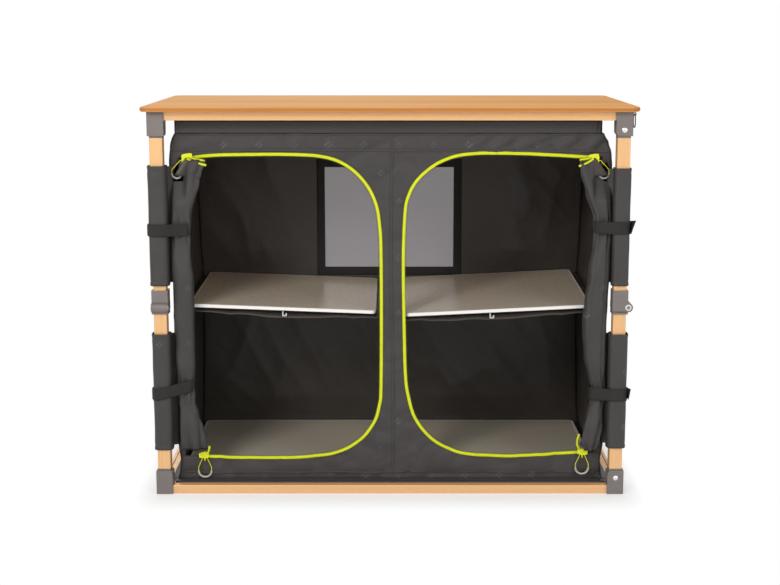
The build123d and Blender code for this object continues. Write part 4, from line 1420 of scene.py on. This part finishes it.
cloth_pieces = [
    front, left_wall, right_wall, back, binding_in, binding_out, floor_cloth, *hems, *bands, sling,
    roll_left, roll_right, *flaps, *front_seams, *binding_stitches,
]
settle(cloth_pieces)
settle([pane])
settle([*straps, *ends])
settle([*chains, *tails])
settle(band_seams)
for place, parts in sliders.items():
    upper = place.startswith("upper")
    settle(parts, "upper_zip_sliders" if upper else "base", flatten=False)
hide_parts("zips")
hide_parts("zip_sliders_upper")
for (corner, half), parts in sleeves.items():
    settle(parts, f"{corner}_{half}_leg", flatten=False)
    sx, sy = corners[corner]
    ease = sleeve_heights[corner, half][2]
    along_x = sx * sy < 0
    reach = SNUG + SLEEVE_WALL + (ease if along_x else ease / 2)
    tube, fin = parts
    PRESSED_HALF / reach
    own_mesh(tube)
    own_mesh(fin)
print("soft pieces:", len(cloth_pieces) + len(sleeves) * 2)

# %% [markdown]
# The walls are rectangles with doors or a window cut out of them. The doors leave about 0.163 square
# metres of the front. Here the sleeves' heights and ease are only read again, and nothing is kept. A
# sheet can't say less than three tenths of its rectangle.

# %% Cut sizes
for (corner, half), (tube, _) in sleeves.items():
    low, high, ease = sleeve_heights[corner, half]
    0.112 + 5 * ease
    high - low

# %% [markdown]
# ## Light, background and floor
# A catalogue picture has one broad soft light from the front, a weaker one from each side, and a
# white ground. The world is white where the camera or a gloss looks at it, and weaker as a light.


# %% World
def looked_at(tree, *kinds):
    """1 where a ray of one of those kinds looks, and 0 elsewhere."""
    first, *others = (add_node(tree, "LightPath", out=f"Is {kind} Ray") for kind in kinds)
    for other in others:
        first = first.math("MAXIMUM", other)
    return first


world = bpy.data.worlds.new("studio")
bpy.context.scene.world = world
world.use_nodes = True
sky = world.node_tree
sky.nodes.clear()
lit = add_node(sky, "Background", {"Color": (1.0, 0.995, 0.985), "Strength": 0.50})
seen = add_node(sky, "Background", {"Color": (1, 1, 1), "Strength": 1.0})
looked = looked_at(sky, "Camera", "Glossy", "Transmission")
add_node(sky, "OutputWorld", {0: add_node(sky, "MixShader", {0: looked, 1: lit, 2: seen})})
print("world nodes:", len(sky.nodes))

# %% [markdown]
# The lamps are round area lamps, because their shadows have soft edges like those of a photo
# studio's boxes. Point lamps would be harder, and a sun would light both ends of the top alike. The
# key stands high on the left, the fill on the right, and two weak ones above and behind.


# %% Lamps
def soft_lamp(name, place, aim_z, wide, power):
    """A round lamp that looks at the cupboard's middle line, at the height aim_z."""
    lamp = bpy.data.lights.new(name, "AREA")
    lamp.shape = "DISK"
    lamp.size = wide
    lamp.energy = power
    lamp.color = (1.0, 0.985, 0.965)
    holder = add(name, lamp)
    holder.location = place
    holder.rotation_euler = (Vector((0, 0, aim_z)) - Vector(place)).to_track_quat("-Z", "Y").to_euler()
    return holder


lamps = [
    soft_lamp("key", (-1.5, -2.7, 2.1), 0.42, 1.2, 52),
    soft_lamp("fill", (2.2, -2.4, 1.3), 0.42, 1.6, 22),
    soft_lamp("top", (0.2, 0.3, 2.9), 0.8, 1.6, 8),
    soft_lamp("rear", (-0.6, 2.6, 1.6), 0.5, 1.8, 12),
]
bpy.context.scene.view_settings.view_transform = "Standard"
print("lamps:", len(lamps))

# %% [markdown]
# The floor is pale and takes the contact shadow. Further out it turns into plain white, so that it
# has no horizon, by mixing in white light that only camera and gloss rays can see.

# %% Floor
SHADOW_X, SHADOW_Y = 0.475, 0.225
pale = Finish("studio_floor", specular_ior_level=0.1)
pale.made(pale.cloud(2.0), (0.93, 0.93, 0.93), (0.96, 0.96, 0.96), 0.85)
past_x = (pale.x.size() - SHADOW_X).math("MAXIMUM", 0.0) / 0.055
past_y = (pale.y.size() - SHADOW_Y).math("MAXIMUM", 0.0) / 0.120
away = (past_x * past_x + past_y * past_y).math("SQRT")
fade = away.between(0.0, 1.0) * 0.72 + 0.28
tree = pale.tree
white = add_node(tree, "Emission", {"Color": (1, 1, 1), "Strength": 1.0})
shaded = Wire(tree, pale.shader.outputs[0])
mixed = add_node(tree, "MixShader", {0: fade * looked_at(tree, "Camera", "Glossy"), 1: shaded, 2: white})
feed(tree, tree.nodes["Material Output"].inputs[0], mixed)
ground = bmesh.new()
bmesh.ops.create_grid(ground, x_segments=8, y_segments=8, size=9.0)
floor = finish_mesh("studio_floor", ground, [pale.material], smooth=False)
floor.location.z = -0.0004
print("floor:", len(floor.data.polygons), "quads")

# %% [markdown]
